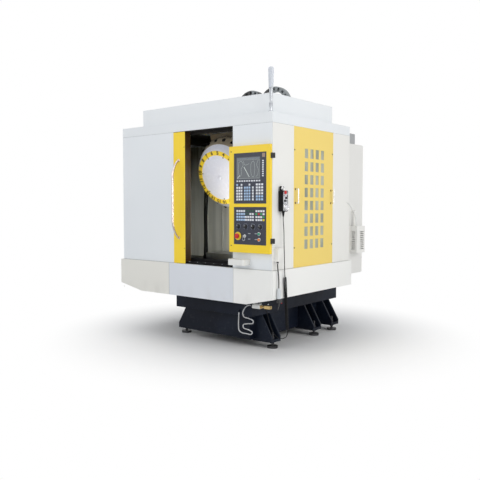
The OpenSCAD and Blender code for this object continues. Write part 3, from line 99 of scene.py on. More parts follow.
def quads(rows, columns, around=False):
    """Faces of a grid of rows by columns points; around joins the last column to the first."""
    i, j = np.meshgrid(np.arange(rows - 1), np.arange(columns if around else columns - 1), indexing="ij")
    k, row, after = (j + 1) % columns, i * columns, (i + 1) * columns
    return np.stack([row + j, row + k, after + k, after + j], -1).reshape(-1, 4).tolist()


def lathe(profile, sides=48):
    """(r, z) points in millimetres turned about z: x = r cos a, y = r sin a, a over a circle."""
    r, z = mm(profile).T
    a = np.linspace(0, 2 * np.pi, sides, endpoint=False)
    points = np.stack([np.outer(r, np.cos(a)), np.outer(r, np.sin(a)), np.outer(z, np.ones(sides))], -1)
    return points.reshape(-1, 3), quads(len(r), sides, around=True)


def place(shape, origin, z_axis=(0, 0, 1), x_axis=(1, 0, 0)):
    """Puts a shape's own axes on given ones: p = origin + x X + y Y + z Z, with Y = Z cross X."""
    z = np.asarray(z_axis, float) / np.linalg.norm(z_axis)
    x = np.asarray(x_axis, float) - np.dot(x_axis, z) * z
    x /= np.linalg.norm(x)
    points, faces = shape
    return np.asarray(points) @ np.stack([x, np.cross(z, x), z]) + np.asarray(origin, float), faces


def on_front(shape, at):
    """The shape's z axis points to the machine's front."""
    return place(shape, at, (0, -1, 0))


def on_right(shape, at):
    """The shape's z axis points to the machine's right side."""
    return place(shape, at, (1, 0, 0), (0, 1, 0))


def curve(route, steps):
    """A smooth line through chosen points: Catmull-Rom cubics, steps samples to a leg."""
    p = np.asarray(route, float)
    q = np.vstack([p[:1], p, p[-1:]])
    t = (np.arange(steps) / steps)[None, :, None]
    a, b, c, d = (q[k:len(q) - 3 + k, None, :] for k in range(4))
    body = 0.5 * (2 * b + (c - a) * t + (2 * a - 5 * b + 4 * c - d) * t**2 + (3 * b - a - 3 * c + d) * t**3)
    return np.vstack([body.reshape(-1, p.shape[1]), p[-1:]])


def tube(path, radius, sides=10):
    """A ring carried along a path: p = path + r (cos a U + sin a V), with V = T cross U. U is the
    last ring's U made square to the direction T, so the tube never twists."""
    path = np.asarray(path, float)
    t = np.gradient(path, axis=0)
    t /= np.linalg.norm(t, axis=1, keepdims=True)
    u = np.empty_like(t)
    side = np.eye(3)[np.argmin(np.abs(t[0]))]
    for k, direction in enumerate(t):
        side = side - np.dot(side, direction) * direction
        side /= np.linalg.norm(side)
        u[k] = side
    v = np.cross(t, u)
    a = np.linspace(0, 2 * np.pi, sides, endpoint=False)
    r = np.broadcast_to(radius, len(path))[:, None, None]
    points = path[:, None] + r * (np.cos(a)[None, :, None] * u[:, None] + np.sin(a)[None, :, None] * v[:, None])
    last = (len(path) - 1) * sides
    ends = [list(range(sides))[::-1], list(range(last, last + sides))]
    return points.reshape(-1, 3), quads(len(path), sides, around=True) + ends


def bent(corners, radius, steps=8):
    """A line through corners with each inner corner rounded by a quadratic arc that starts radius
    before it: p = (1-t)^2 a + 2 t (1-t) corner + t^2 b."""
    q = np.asarray(corners, float)
    t = np.linspace(0, 1, steps)[:, None]
    runs = [q[:1]]
    for a, b, c in zip(q[:-2], q[1:-1], q[2:]):
        start = b + (a - b) / np.linalg.norm(a - b) * radius
        stop = b + (c - b) / np.linalg.norm(c - b) * radius
        runs.append((1 - t) ** 2 * start + 2 * t * (1 - t) * b + t**2 * stop)
    return np.vstack(runs + [q[-1:]])


def blocks(low, high):
    """Boxes between rows of low and high corners, eight points and six faces each."""
    low, high = np.atleast_2d(np.asarray(low, float)), np.atleast_2d(np.asarray(high, float))
    pick = np.array([[i, j, k] for k in (0, 1) for j in (0, 1) for i in (0, 1)])
    points = np.where(pick[None], high[:, None], low[:, None]).reshape(-1, 3)
    one = np.array([[0, 2, 3, 1], [4, 5, 7, 6], [0, 1, 5, 4], [2, 6, 7, 3], [0, 4, 6, 2], [1, 3, 7, 5]])
    return points, (one[None] + 8 * np.arange(len(low))[:, None, None]).reshape(-1, 4).tolist()


def rounded(w, h, r, steps=5):
    """A rectangle's outline, centred, with corners that are arcs of radius r."""
    a = np.linspace(0, np.pi / 2, steps)
    quarter = np.column_stack([np.cos(a), np.sin(a)]) * r
    turn, x, y = np.array([[0, 1], [-1, 0]]), w / 2 - r, h / 2 - r
    return np.vstack([quarter @ np.linalg.matrix_power(turn, k) + centre
                      for k, centre in enumerate([(x, y), (-x, y), (-x, -y), (x, -y)])])


def loft(outlines, heights):
    """Outlines of equal count stacked at heights, with both ends closed."""
    n = len(outlines[0])
    points = np.vstack([np.column_stack([o, np.full(n, z)]) for o, z in zip(outlines, heights)])
    ends = [list(range(n))[::-1], list(range(len(points) - n, len(points)))]
    return points, quads(len(outlines), n, around=True) + ends


def slab(w, h, r, z0, z1, steps=5):
    """A rounded rectangle raised from z0 to z1."""
    return loft([rounded(w, h, r, steps)] * 2, [z0, z1])


# %% [markdown]
# One function turns a shape into a Blender object. It welds doubled points, closes poles, turns
# all faces outwards and marks sharp edges by angle, so round parts shade smoothly and edges stay
# crisp. A bevel modifier then breaks the edges, because no real edge is perfectly sharp.

# %% From arrays to pieces
EDGE_ANGLE = 0.7
BEVEL_ANGLE = 0.6


def piece(name, shapes, body, paint, bevel=None, parts=None, weld=True):
    """A named object on a body, made of one shape or a list; parts numbers each face's material."""
    points, faces = join(*shapes) if isinstance(shapes, list) else shapes
    mesh = bpy.data.meshes.new(name)
    mesh.from_pydata(np.asarray(points).tolist(), [], faces)
    for material in paint if isinstance(paint, list) else [paint]:
        mesh.materials.append(material)
    if parts:
        mesh.polygons.foreach_set("material_index", parts)
    if weld:
        work = bmesh.new()
        work.from_mesh(mesh)
        bmesh.ops.remove_doubles(work, verts=work.verts, dist=1e-6)
        bmesh.ops.dissolve_degenerate(work, edges=work.edges, dist=1e-7)
        bmesh.ops.recalc_face_normals(work, faces=work.faces)
        work.to_mesh(mesh)
        work.free()
    mesh.shade_smooth()
    mesh.set_sharp_from_angle(angle=EDGE_ANGLE)
    made = bpy.data.objects.new(name, mesh)
    scene.collection.objects.link(made)
    if bevel:
        rounding = made.modifiers.new("edges", "BEVEL")
        rounding.width, rounding.segments = bevel, 2
        rounding.limit_method, rounding.angle_limit = "ANGLE", BEVEL_ANGLE
    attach(made, body)
    return made


print("shapes ready")

# %% [markdown]
# A finish is a small program of shader nodes. Written as nodes in a window it is easy to follow
# but long in Python, so one class wraps a socket: adding or multiplying two wrapped sockets makes
# the Math node. Colours are mixed by Mix nodes, because a Math node would turn them grey.

# %% Shader arithmetic
class Wire:
    """A shader socket in a tree of Nodes that can be used in an expression."""

    def __init__(self, tree, socket):
        self.tree, self.socket = tree, socket

    def math(self, operation, a, b=0.0):
        return self.tree.wire("ShaderNodeMath", dict(operation=operation), {0: a, 1: b})

    def __abs__(self):
        return self.math("ABSOLUTE", self)


# a + b, a - b and a * b, with the wire on either side
for sign, operation in (("add", "ADD"), ("sub", "SUBTRACT"), ("mul", "MULTIPLY")):
    setattr(Wire, f"__{sign}__", lambda a, b, operation=operation: a.math(operation, a, b))
    setattr(Wire, f"__r{sign}__", lambda a, b, operation=operation: a.math(operation, b, a))


class Nodes:
    """A node tree being written; settings go to a new node, sockets feed its inputs."""

    def __init__(self, tree):
        self.tree = tree
        tree.nodes.clear()

    def node(self, kind, settings=None, sockets=None):
        made = self.tree.nodes.new(kind)
        for key, value in (settings or {}).items():
            setattr(made, key, value)
        for key, value in (sockets or {}).items():
            self.feed(made.inputs[key], value)
        return made

    def wire(self, kind, settings=None, sockets=None, output=0):
        """A new node's output, wrapped."""
        return Wire(self, self.node(kind, settings, sockets).outputs[output])

    def feed(self, socket, value):
        if isinstance(value, Wire):
            self.tree.links.new(value.socket, socket)
        else:
            socket.default_value = (*value, 1.0) if socket.type == "RGBA" else value


class Paint(Nodes):
    """A material being written: object coordinates in, one Principled shader out."""

    def __init__(self, name):
        self.material = bpy.data.materials.new(name)
        self.material.use_nodes = True
        super().__init__(self.material.node_tree)
        self.end = self.node("ShaderNodeOutputMaterial")
        self.shader = self.node("ShaderNodeBsdfPrincipled")
        self.feed(self.end.inputs["Surface"], Wire(self, self.shader.outputs[0]))
        self.place = self.wire("ShaderNodeTexCoord", output="Object")
        split = self.node("ShaderNodeSeparateXYZ", {}, {0: self.place})
        self.x, self.y, self.z = (Wire(self, split.outputs[k]) for k in range(3))

    def noise(self, scale, detail=3.0, stretch=(1, 1, 1), shift=(0, 0, 0)):
        """Smooth noise, about 0 to 1, on object coordinates stretched and shifted."""
        moved = self.wire("ShaderNodeMapping", {}, {"Vector": self.place, "Scale": stretch, "Location": shift})
        return self.wire("ShaderNodeTexNoise", {}, {"Vector": moved, "Scale": scale, "Detail": detail})

    def mix(self, a, b, mask):
        """Colour a where mask is 0 and b where it is 1."""
        return self.wire("ShaderNodeMix", dict(data_type="RGBA", clamp_factor=True), {0: mask, 6: a, 7: b}, 2)

    def ramp(self, value, low, high):
        """0 below low and 1 above high, smooth between."""
        return self.wire("ShaderNodeMapRange", dict(interpolation_type="SMOOTHSTEP", clamp=True),
                         {0: value, 1: low, 2: high})

    def above(self, value, at, half=0.0004):
        """0 below a place and 1 above it, with a step of twice half."""
        return self.ramp(value, at - half, at + half)

    def line(self, value, at, width):
        """1 where value is at a place, 0 beyond width on either side."""
        return 1 - self.ramp(abs(value - at), 0.4 * width, width)

    def finish(self, colour, roughness, metallic=0.0, bump=None, depth=0.0005, round_edges=0.0, **fixed):
        """Feeds the Principled shader; round_edges bends the normals at edges by that radius."""
        sockets = {"Base Color": colour, "Roughness": roughness, "Metallic": metallic}
        if round_edges:
            sockets["Normal"] = self.wire("ShaderNodeBevel", dict(samples=4), {"Radius": round_edges})
        if bump is not None:
            relief = {"Strength": 1.0, "Distance": depth, "Height": bump}
            if round_edges:
                relief["Normal"] = sockets["Normal"]
            sockets["Normal"] = self.wire("ShaderNodeBump", {}, relief)
        sockets.update((key.replace("_", " "), value) for key, value in fixed.items())
        for key, value in sockets.items():
            self.feed(self.shader.inputs[key], value)
        return self.material


print("shader arithmetic ready")

# %% [markdown]
# Powder coat is baked plastic on steel: a satin skin with a fine orange peel. What makes a large
# white sheet look real is the very slight change of tone over a metre, the darker line where two
# sheets meet, and a little dust low down. All three are masks made from object coordinates.

# %% Painted sheets
seam_z = 2.049
cover_seam_z = 2.141
ledge_z = 0.762
front_y = -0.845
right_x = 0.772
skirt_joints = (-0.480, 0.352)


def powder_coat(name, colour, shade, roughness=0.38, seams=(), dust=0.0, dust_z=(0.4, 0.9), sheets=()):
    """Satin paint; seams are (axis, place, width) lines of shade, sheets are (from x, colour) tones of painted
    light and shade.
    """
    p = Paint(name)
    wide = p.noise(0.9, 2.0, shift=(3.1, 0.4, 1.7))
    tone = p.mix(colour, shade, p.ramp(wide, 0.35, 0.8) * 0.5)
    for start, other in sheets:
        tone = p.mix(tone, other, p.above(p.x, start))
    dark = tuple(0.35 * c for c in shade)
    for axis, at, width in seams:
        tone = p.mix(tone, dark, p.line(getattr(p, axis), at, width) * 0.75)
    if dust:
        patches = p.ramp(p.noise(7.0, 6.0, (1, 1, 0.35)), 0.42, 0.75)
        tone = p.mix(tone, (0.42, 0.40, 0.36), (1 - p.ramp(p.z, *dust_z)) * patches * dust)
    gloss = roughness + (p.noise(24.0, 4.0) - 0.5) * 0.12
    return p.finish(tone, gloss, bump=p.noise(900.0, 2.0), depth=0.00012, round_edges=0.0025,
                    Coat_Weight=0.12, Coat_Roughness=0.25)


wall_seams = [("z", seam_z, 0.003), ("z", ledge_z, 0.005)]
cool_white = powder_coat("cool_white_powder_coat", (0.80, 0.83, 0.86), (0.73, 0.77, 0.81), seams=wall_seams)
roof_tones = (0.82, 0.845, 0.865), (0.76, 0.79, 0.82)
cover_white = powder_coat("cover_white_powder_coat", *roof_tones, seams=[("z", cover_seam_z, 0.004)])
warm_white = powder_coat("warm_white_powder_coat", (0.83, 0.825, 0.795), (0.78, 0.77, 0.735),
                         seams=wall_seams, dust=0.25)
# The skirt's sheets get tones for how light falls on them: the middle sheet's cooler, darker tone is painted
# shade and the right sheet's brighter one is painted light.
skirt_lit_and_shaded_tones = list(zip(skirt_joints, ((0.71, 0.74, 0.79), (0.87, 0.87, 0.85))))
skirt_white = powder_coat("skirt_white_powder_coat", (0.80, 0.79, 0.74), (0.74, 0.73, 0.68), dust=0.2,
                          dust_z=(0.44, 0.62), sheets=skirt_lit_and_shaded_tones,
                          seams=[("x", at, 0.0025) for at in skirt_joints])
yellow_tones = (0.95, 0.68, 0.025), (0.90, 0.60, 0.018)
yellow = powder_coat("yellow_powder_coat", *yellow_tones, roughness=0.33)
# The dark brown on the post's side face towards the opening is painted shade: the yellow jamb as it looks in
# shadow.
jamb_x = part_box("door_post")[1][0] - 0.0008
post_yellow = powder_coat("door_post_yellow_painted_shade_jamb", *yellow_tones, roughness=0.33,
                          sheets=[(jamb_x, (0.034, 0.015, 0.002))])
louvre_yellow = powder_coat("louvre_yellow_powder_coat", (0.87, 0.66, 0.165), (0.84, 0.61, 0.130),
                            roughness=0.4)
print("painted sheets", len(bpy.data.materials))

# %% [markdown]
# The base and the saddle are sand castings: filled, painted by spray and never quite flat. The
# paint is dark navy with a soft sheen. Lumps of a few centimetres and a fine grain go into the
# bump, and shop dust settles as a lighter tone on the lower parts.

# %% Cast and dark finishes
def cast_paint(name, colour, light, roughness=0.42, dust=0.0, **fixed):
    """Sprayed paint on a casting: broad lumps and a fine sand grain in the bump."""
    p = Paint(name)
    broad = p.noise(14.0, 3.0)
    tone = p.mix(colour, light, p.ramp(p.noise(2.2, 5.0), 0.4, 0.75))
    if dust:
        low = 1 - p.ramp(p.z, 0.05, 0.5)
        tone = p.mix(tone, (0.30, 0.29, 0.27), p.ramp(p.noise(30.0, 6.0), 0.55, 0.8) * low * dust)
    return p.finish(tone, roughness + (broad - 0.5) * 0.2, bump=broad + p.noise(420.0, 2.0) * 0.12,
                    depth=0.0009, round_edges=0.004, **fixed)


def plain_metal(name, colour, roughness=0.3, brushed=(1, 1, 1), depth=0.00008, streak=0.12):
    """Bare metal; brushed stretches the grain, with small numbers along the polishing direction."""
    p = Paint(name)
    grain = p.noise(500.0, 3.0, brushed)
    worn = p.noise(9.0, 4.0)
    tone = p.mix(colour, tuple(0.72 * c for c in colour), p.ramp(worn, 0.45, 0.8))
    gloss = roughness + (grain - 0.5) * streak + (worn - 0.5) * 0.15
    return p.finish(tone, gloss, 1.0, bump=grain, depth=depth)


def moulded(name, colour, roughness=0.45, grain=700.0, depth=0.00008, **fixed):
    """Moulded plastic or rubber: one colour with a faint mottle and a fine texture."""
    p = Paint(name)
    light = tuple(min(1.0, 1.08 * c + 0.006) for c in colour)
    tone = p.mix(colour, light, p.ramp(p.noise(40.0, 4.0), 0.45, 0.8))
    gloss = roughness + (p.noise(60.0, 3.0) - 0.5) * 0.14
    return p.finish(tone, gloss, bump=p.noise(grain, 2.0), depth=depth, **fixed)


navy_cast = cast_paint("navy_cast_paint", (0.004, 0.006, 0.013), (0.010, 0.015, 0.028), dust=0.06,
                       Specular_IOR_Level=0.15)
grey_cast = cast_paint("grey_cast_paint", (0.56, 0.57, 0.56), (0.50, 0.51, 0.50))
dark_cast = cast_paint("dark_cast_paint", (0.035, 0.045, 0.06), (0.06, 0.07, 0.085))
# The brown on the magazine's arm and carrier is painted shade: their sheet as it looks in the roof's shadow.
painted_shade_brown_cast = cast_paint("painted_shade_brown_cast_paint", (0.27, 0.22, 0.155), (0.33, 0.28, 0.20), 0.5)
foot_steel = plain_metal("foot_steel", (0.07, 0.07, 0.075), 0.5)
ground_steel = plain_metal("ground_steel", (0.62, 0.63, 0.65), 0.26)
table_iron = plain_metal("table_iron", (0.40, 0.42, 0.44), 0.34, (1, 0.05, 1))
screw_steel = plain_metal("screw_steel", (0.10, 0.10, 0.105), 0.45)
lamp_silver = plain_metal("lamp_silver", (0.44, 0.46, 0.49), 0.36)
drawn = (1, 1, 0.04), 0.00003, 0.05
chrome = plain_metal("polished_bar", (0.80, 0.80, 0.82), 0.14, *drawn)
# The door handle's pink tint is a painted reddish reflection on the polished bar.
handle_steel_pink_reflection = plain_metal("handle_steel_pink_reflection", (0.66, 0.57, 0.55), 0.22, *drawn)
number_ink = moulded("number_ink", (0.045, 0.026, 0.010), 0.5)
black_enamel = moulded("black_enamel", (0.014, 0.015, 0.018), 0.35)
bezel = moulded("bezel_navy_black", (0.028, 0.032, 0.052), 0.42)
black_plastic = moulded("black_moulding", (0.012, 0.012, 0.014), 0.4)
black_rubber = moulded("black_rubber", (0.007, 0.007, 0.008), 0.6, 300.0, 0.0002, Specular_IOR_Level=0.2)
white_moulding = moulded("white_moulding", (0.78, 0.78, 0.76), 0.32)
red_moulding = moulded("red_moulding", (0.58, 0.012, 0.012), 0.28)
green_moulding = moulded("green_moulding", (0.02, 0.30, 0.17), 0.3)
orange_moulding = moulded("orange_moulding", (0.75, 0.20, 0.03), 0.3)
yellow_moulding = moulded("yellow_moulding", (0.86, 0.62, 0.03), 0.35)
turret_white = moulded("turret_white", (0.70, 0.715, 0.80), 0.34, 500.0, 0.00002)
key_paints = [moulded("key_" + name, colour, 0.5) for name, colour in (
    ("white", (0.78, 0.80, 0.84)), ("blue", (0.42, 0.58, 0.80)), ("green", (0.05, 0.35, 0.12)),
    ("red", (0.55, 0.03, 0.03)), ("yellow", (0.75, 0.60, 0.04)))]
key_white = key_paints[0]
print("finishes", len(bpy.data.materials))

# %% [markdown]
# Inside the chamber the sheets are plain grey, stained by coolant: streaks that run down. Near the
# ceiling they carry a painted brown shade, as under the roof. A noise that is stretched along z
# makes the streaks.

# %% Chamber finishes
def splash_sheet(name, colour, shade_tone, shade_z, **fixed):
    """Grey sheet with upright stain streaks; a painted brown shade grows above shade_z, stronger along the
    streaks.
    """
    p = Paint(name)
    streak = p.ramp(p.noise(16.0, 5.0, (1, 1, 0.05)), 0.35, 0.75)
    tone = p.mix(colour, tuple(0.62 * c for c in colour), streak * 0.7)
    tone = p.mix(tone, shade_tone, p.ramp(p.z, *shade_z) * (0.55 + 0.45 * streak))
    return p.finish(tone, 0.42 + streak * 0.2, bump=p.noise(5.0, 3.0), depth=0.002, round_edges=0.002, **fixed)


# The brown above 1.62 m on the liner is painted shade, where the roof shades the chamber's top.
liner_grey = splash_sheet("liner_grey", (0.55, 0.57, 0.55), (0.10, 0.092, 0.045), (1.62, 1.98))
pan_dark = splash_sheet("pan_dark", (0.006, 0.006, 0.007), (0.02, 0.018, 0.016), (1.0, 1.2),
                        Specular_IOR_Level=0.12)


# White sheet outside; the inner side is painted a dark olive shade, the roof's underside as it looks in shadow.
p = Paint("roof_white_painted_shade_inside")
low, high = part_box("roof_panel")
skin, step = 0.0015, 0.0001
inside = 1 - p.ramp(p.z, high[2] - skin - step, high[2] - skin)
for at, start, stop in ((p.x, low[0], high[0]), (p.y, low[1], high[1])):
    inside = inside * p.ramp(at, start + skin, start + skin + step)
    inside = inside * (1 - p.ramp(at, stop - skin - step, stop - skin))
shade_tone = p.mix((0.030, 0.029, 0.014), (0.060, 0.056, 0.034), p.noise(5.0, 4.0))
white = p.mix(*roof_tones, p.noise(0.9, 2.0))
roof_paint = p.finish(p.mix(white, shade_tone, inside), 0.42, bump=p.noise(900.0, 2.0), depth=0.00012,
                      round_edges=0.0025)


def clear_skin(name, colour, roughness, alpha, body=0.0):
    """See-through sheet or hose: mostly transmission, thinned by alpha."""
    p = Paint(name)
    tone = p.mix(colour, tuple(0.85 * c for c in colour), p.noise(30.0, 3.0))
    return p.finish(tone, roughness + p.noise(60.0, 3.0) * 0.08, Transmission_Weight=1.0 - body, IOR=1.45,
                    Alpha=alpha)


window_glass = clear_skin("window_glass", (0.62, 0.68, 0.70), 0.05, 0.6)
hose_clear = clear_skin("hose_clear", (0.90, 0.91, 0.92), 0.18, 0.85, 0.55)


# Lavender-white acrylic: soft inside, with faint rings from the moulding.
p = Paint("frosted_lens")
rings = p.noise(80.0, 2.0, (0.1, 0.1, 1))
lens = p.finish(p.mix((0.56, 0.59, 0.65), (0.68, 0.71, 0.76), rings), 0.42, bump=rings, depth=0.0004,
                Subsurface_Weight=0.25, Subsurface_Radius=(0.02, 0.02, 0.025))


def banded(name, along, bands, roughness=0.45, metallic=()):
    """One solid sprayed in bands: (from, colour) pairs along an axis, each from its place upwards;
    metallic is a (from, to) stretch of bare metal."""
    p = Paint(name)
    at = getattr(p, along)
    mottle = p.noise(30.0, 4.0)
    tone = bands[0][1]
    for start, colour in bands[1:]:
        tone = p.mix(tone, colour, p.above(at, start))
    tone = p.mix(tone, (0.5, 0.5, 0.5), mottle * 0.05)
    metal = 0.0
    if metallic:
        metal = p.above(at, metallic[0]) * (1 - p.ramp(at, metallic[1], metallic[1] + 0.001))
    return p.finish(tone, roughness + (mottle - 0.5) * 0.15, metal, bump=p.noise(700.0, 2.0),
                    depth=0.00008, round_edges=0.002)


cabinet_paint = banded("cabinet_white_and_cowl_grey", "z",
                       [(0, (0.79, 0.785, 0.76)), (1.986, (0.36, 0.37, 0.38))])
# The black on the left half of each chain loop is painted shade on the grey chain.
chain_shade_black, chain_grey = (0.016, 0.017, 0.019), (0.23, 0.25, 0.26)
carrier_paint = banded("chain_grey_with_painted_shade", "x", [(0, chain_shade_black), (0.290, chain_grey),
                                                     (0.365, chain_shade_black), (0.460, chain_grey)], 0.5)
gun_paint = banded("gun_black_and_bowl", "z",
                   [(0, (0.014, 0.014, 0.016)), (0.518, (0.62, 0.65, 0.67))], 0.3)
brass_x = 0.6105
valve_paint = banded("valve_white_and_brass", "x",
                     [(0, (0.016, 0.016, 0.018)), (0.5225, (0.74, 0.75, 0.73)),
                      (brass_x, (0.62, 0.45, 0.20))], 0.34, (brass_x, 0.80))
print("finishes", len(bpy.data.materials))

# %% [markdown]
# Each CAD solid keeps its mesh and gets a finish by its material slots. The pairs below are the
# painter's list: a finish, and the solids that are sprayed with it.

# %% Finishes of the CAD solids
paint_list = [
    (navy_cast, "base_casting"), (foot_steel, "levelling_feet"), (grey_cast, "column head_casting"),
    (black_enamel, "axis_drives spindle_motor"), (dark_cast, "saddle"), (table_iron, "work_table"),
    (cool_white, "front_panels left_side_panel door_leaf"), (roof_paint, "roof_panel"),
    (warm_white, "right_side_panel back_panel transformer_box cabinet_door"),
    (cover_white, "roof_cover"), (skirt_white, "skirts"), (louvre_yellow, "service_panel"),
    (chrome, "service_handles signal_lamp pendant_wheel door_handle"),
    (pan_dark, "door_tracks chip_pan"), (liner_grey, "chamber_liner"), (white_moulding, "shelf_tray"),
    (black_rubber, "coolant_hoses pendant_body pendant_cable pendant_curl air_hose"),
    (carrier_paint, "cable_carrier"), (cabinet_paint, "electric_cabinet"), (valve_paint, "valve_block"),
    (gun_paint, "blow_gun"), (hose_clear, "recoil_hose"), (window_glass, "door_window"),
    (black_plastic, "pendant_axis_knob pendant_step_knob jog_knob feed_knob rapid_knob spindle_knob"),
    (red_moulding, "pendant_stop gun_trigger main_switch estop_button"),
    (ground_steel, "spindle_shaft key_switch"), (painted_shade_brown_cast, "turret_arm turret_carrier"),
    (turret_white, "turret_cover"), (post_yellow, "door_post"), (yellow, "panel_frame"),
    (bezel, "display_unit control_board"), (key_white, "keypads"), (green_moulding, "start_button"),
    (orange_moulding, "hold_button"),
]
painted = 0
for material, solids in paint_list:
    for name in solids.split():
        slots = nodes[name].data.materials
        slots.clear()
        slots.append(material)
        painted += 1
print("painted", painted, "of", len(nodes))

# %% [markdown]
# Three lines hang on the machine. The pendant's cable is one wire: it leaves the pendant's sleeve,
# falls along the side, winds into a tight curl and swings back under the skirt to a gland on the
# base. The curl is a helix on a slanting axis, and its radius grows and shrinks at its ends so
# that it joins the straight parts. The helix is drawn as one tube with them.

# %% Cords
def helix(top, low, radius, turns, per_turn=12):
    """p = axis point + r (cos a E1 + sin a E2); r eases in from 0 and out over the end turns.

    The power of s opens the upper turns a little, as the weight below them does."""
    ease_turns, opening = 1.6, 1.08
    axis = (low - top) / np.linalg.norm(low - top)
    e1 = np.array([1.0, 0, 0]) - axis[0] * axis
    e1 /= np.linalg.norm(e1)
    s = np.linspace(0, 1, turns * per_turn + 1)[:, None]
    t = np.clip(np.minimum(s, 1 - s) * turns / ease_turns, 0, 1)
    r = radius * t * t * (3 - 2 * t)
    a = 2 * np.pi * turns * s ** opening
    return top + s * (low - top) + r * (np.cos(a) * e1 + np.sin(a) * np.cross(axis, e1))


def run_length(path):
    """The length of a line of points."""
    return float(np.linalg.norm(np.diff(path, axis=0), axis=1).sum())


drop = curve(mm([(802, -720, 1233), (802, -720, 1200), (803, -711, 1100), (806, -710, 960),
                 (810, -710, 840), (812, -709.7, 760), (812, -705, 705)]), 5)
tail = curve(mm([(812, -664, 225), (812, -661, 190), (790, -656, 152), (745, -650, 130), (695, -648, 134),
                 (645, -646, 170), (610, -645, 235), (585, -645, 310), (560, -645, 372), (530, -645, 400),
                 (500, -645, 400)]), 6)
wire_path = np.vstack([drop[:-1], helix(drop[-1], tail[0], 0.0112, 62), tail[1:]])
pendant_cord = piece("pendant_cord", tube(wire_path, 0.0035, 8), "machine", black_rubber)
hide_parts("pendant_cable", "pendant_curl")

air_path = curve(mm([(802, -802, 825), (802, -802, 802), (806, -801, 765), (810, -800, 720),
                     (814, -800, 670), (814, -800, 610)]), 6)
air_hose = piece("air_hose_piece", tube(air_path, 0.005, 12), "machine", black_rubber)
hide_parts("air_hose")

recoil_path = curve(mm([
    (498, -783, 422), (470, -783, 422), (430, -786, 400), (402, -789, 350), (420, -793, 312), (480, -795, 304),
    (524, -793, 290), (515, -787, 262), (460, -783, 252), (408, -785, 238), (415, -791, 208), (470, -795, 200),
    (512, -793, 185), (500, -789, 160), (440, -785, 158), (385, -783, 160), (352, -783, 182), (345, -781, 230),
    (344, -776.5, 300), (344, -776.5, 345)]), 6)
recoil = piece("recoil_hose_piece", tube(recoil_path, 0.005, 12), "machine", hose_clear)
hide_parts("recoil_hose")
print("cord lengths", [round(run_length(p), 3) for p in (wire_path, air_path, recoil_path)])

# %% [markdown]
# The tool magazine is the machine's face. On the real one a yellow ring is screwed around a
# lavender-white drum, with a stamped number beside each of the 21 tool pockets. The ring is a
# lathe skin that follows the drum's chamfer. The numbers are text turned into mesh and set round
# the ring, tops outward, because numbers painted by a shader would need a picture.

# %% Magazine face
hub = np.array([0, -0.645, 1.599])
tilt = np.radians(18)
out = np.array([0, -np.cos(tilt), -np.sin(tilt)])
across = np.array([1.0, 0, 0])
up_face = np.cross(out, across)
tools = 21


def radial(degrees):
    """The direction at an angle round the hub, counted from the machine's right side upwards."""
    a = np.radians(degrees)
    return np.cos(a) * across + np.sin(a) * up_face


def text_shape(text, size, depth, weight):
    """Flat text as a solid shape: x to the right, y up, centred, raised by depth."""
    data = bpy.data.curves.new("text", "FONT")
    data.body, data.size, data.extrude = text, size, depth / 2
    data.align_x, data.align_y = "CENTER", "CENTER"
    data.resolution_u, data.offset = 3, weight
    holder = bpy.data.objects.new("text", data)
    mesh = holder.to_mesh()
    points = np.array([v.co for v in mesh.vertices]) + (0, 0, depth / 2)
    faces = [list(f.vertices) for f in mesh.polygons]
    holder.to_mesh_clear()
    bpy.data.objects.remove(holder)
    bpy.data.curves.remove(data)
    return points, faces


ring = lathe([(221, 0.2), (221, 1.4), (265.2, 1.4), (266.2, 0.2), (221, 0.2)], 128)
piece("magazine_number_ring", place(ring, hub, out, across), "turret", yellow_moulding)
numbers = []
for k in range(1, tools + 1):
    ray = radial(81.5 + (k - 5) * 360 / tools)
    number = text_shape(str(k), 0.050, 0.0006, 0.0021)
    numbers.append(place(number, hub + 0.245 * ray + 0.0013 * out, out, np.cross(ray, out)))
piece("magazine_numbers", numbers, "turret", number_ink)

socket_head = lathe([(0, 0.8), (2.6, 0.8), (2.8, 3.2), (4.2, 3.4), (5.2, 2.6), (5.5, 0), (0, 0)], 20)


def screws(name, places, body, axis, paint, scale=1.0):
    """Screw heads with a round socket, their axes along axis."""
    side = (1, 0, 0) if abs(axis[0]) < 0.9 else (0, 1, 0)
    head = (socket_head[0] * scale, socket_head[1])
    piece(name, [place(head, at, axis, side) for at in places], body, paint)


screws("magazine_screws", [hub + 0.2135 * radial(64.5 + 360 / 7 * k) for k in range(7)], "turret", out,
       screw_steel, 1.1)
centre_cap = lathe([(0, 4), (20, 4), (24, 1.5), (24, 0), (0, 0)], 40)
piece("magazine_centre_cap", place(centre_cap, hub, out, across), "turret", turret_white)
jaw = blocks([[-0.0235, -0.007, -0.026], [0.0165, -0.007, -0.026]],
             [[-0.0165, 0.0075, 0.0], [0.0235, 0.0075, 0.0]])
# The black cups in the tool pockets are painted shade: they darken the pockets' depths.
socket = lathe([(0, -12), (17.7, -12), (17.7, 8), (16, 8), (15, -4), (0, -6)], 32)
jaws, sockets = [], []
for k in range(tools):
    ray, between = radial(90 + 360 / tools * k), radial(90 + 360 / tools * (k + 0.5))
    jaws.append(place(jaw, hub + 0.357 * ray - 0.171 * out, out, np.cross(out, ray)))
    sockets.append(place(socket, hub + 0.339 * between - 0.112 * out, out, across))
piece("magazine_jaw_pads", jaws, "turret", black_plastic, bevel=0.001)
piece("magazine_pocket_shade_cups", sockets, "turret", black_rubber)
print("magazine ring, numbers", len(numbers), "jaw pads", len(jaws))

# %% [markdown]
# The door's bow handle is one bent bar. In the CAD model it is straight pieces with balls at the
# bends; the real bar is bent in a press, so its bends are arcs. Rounding the corners of a line and
# carrying a ring along it gives the bend, and two turned flanges cover where it meets the door.

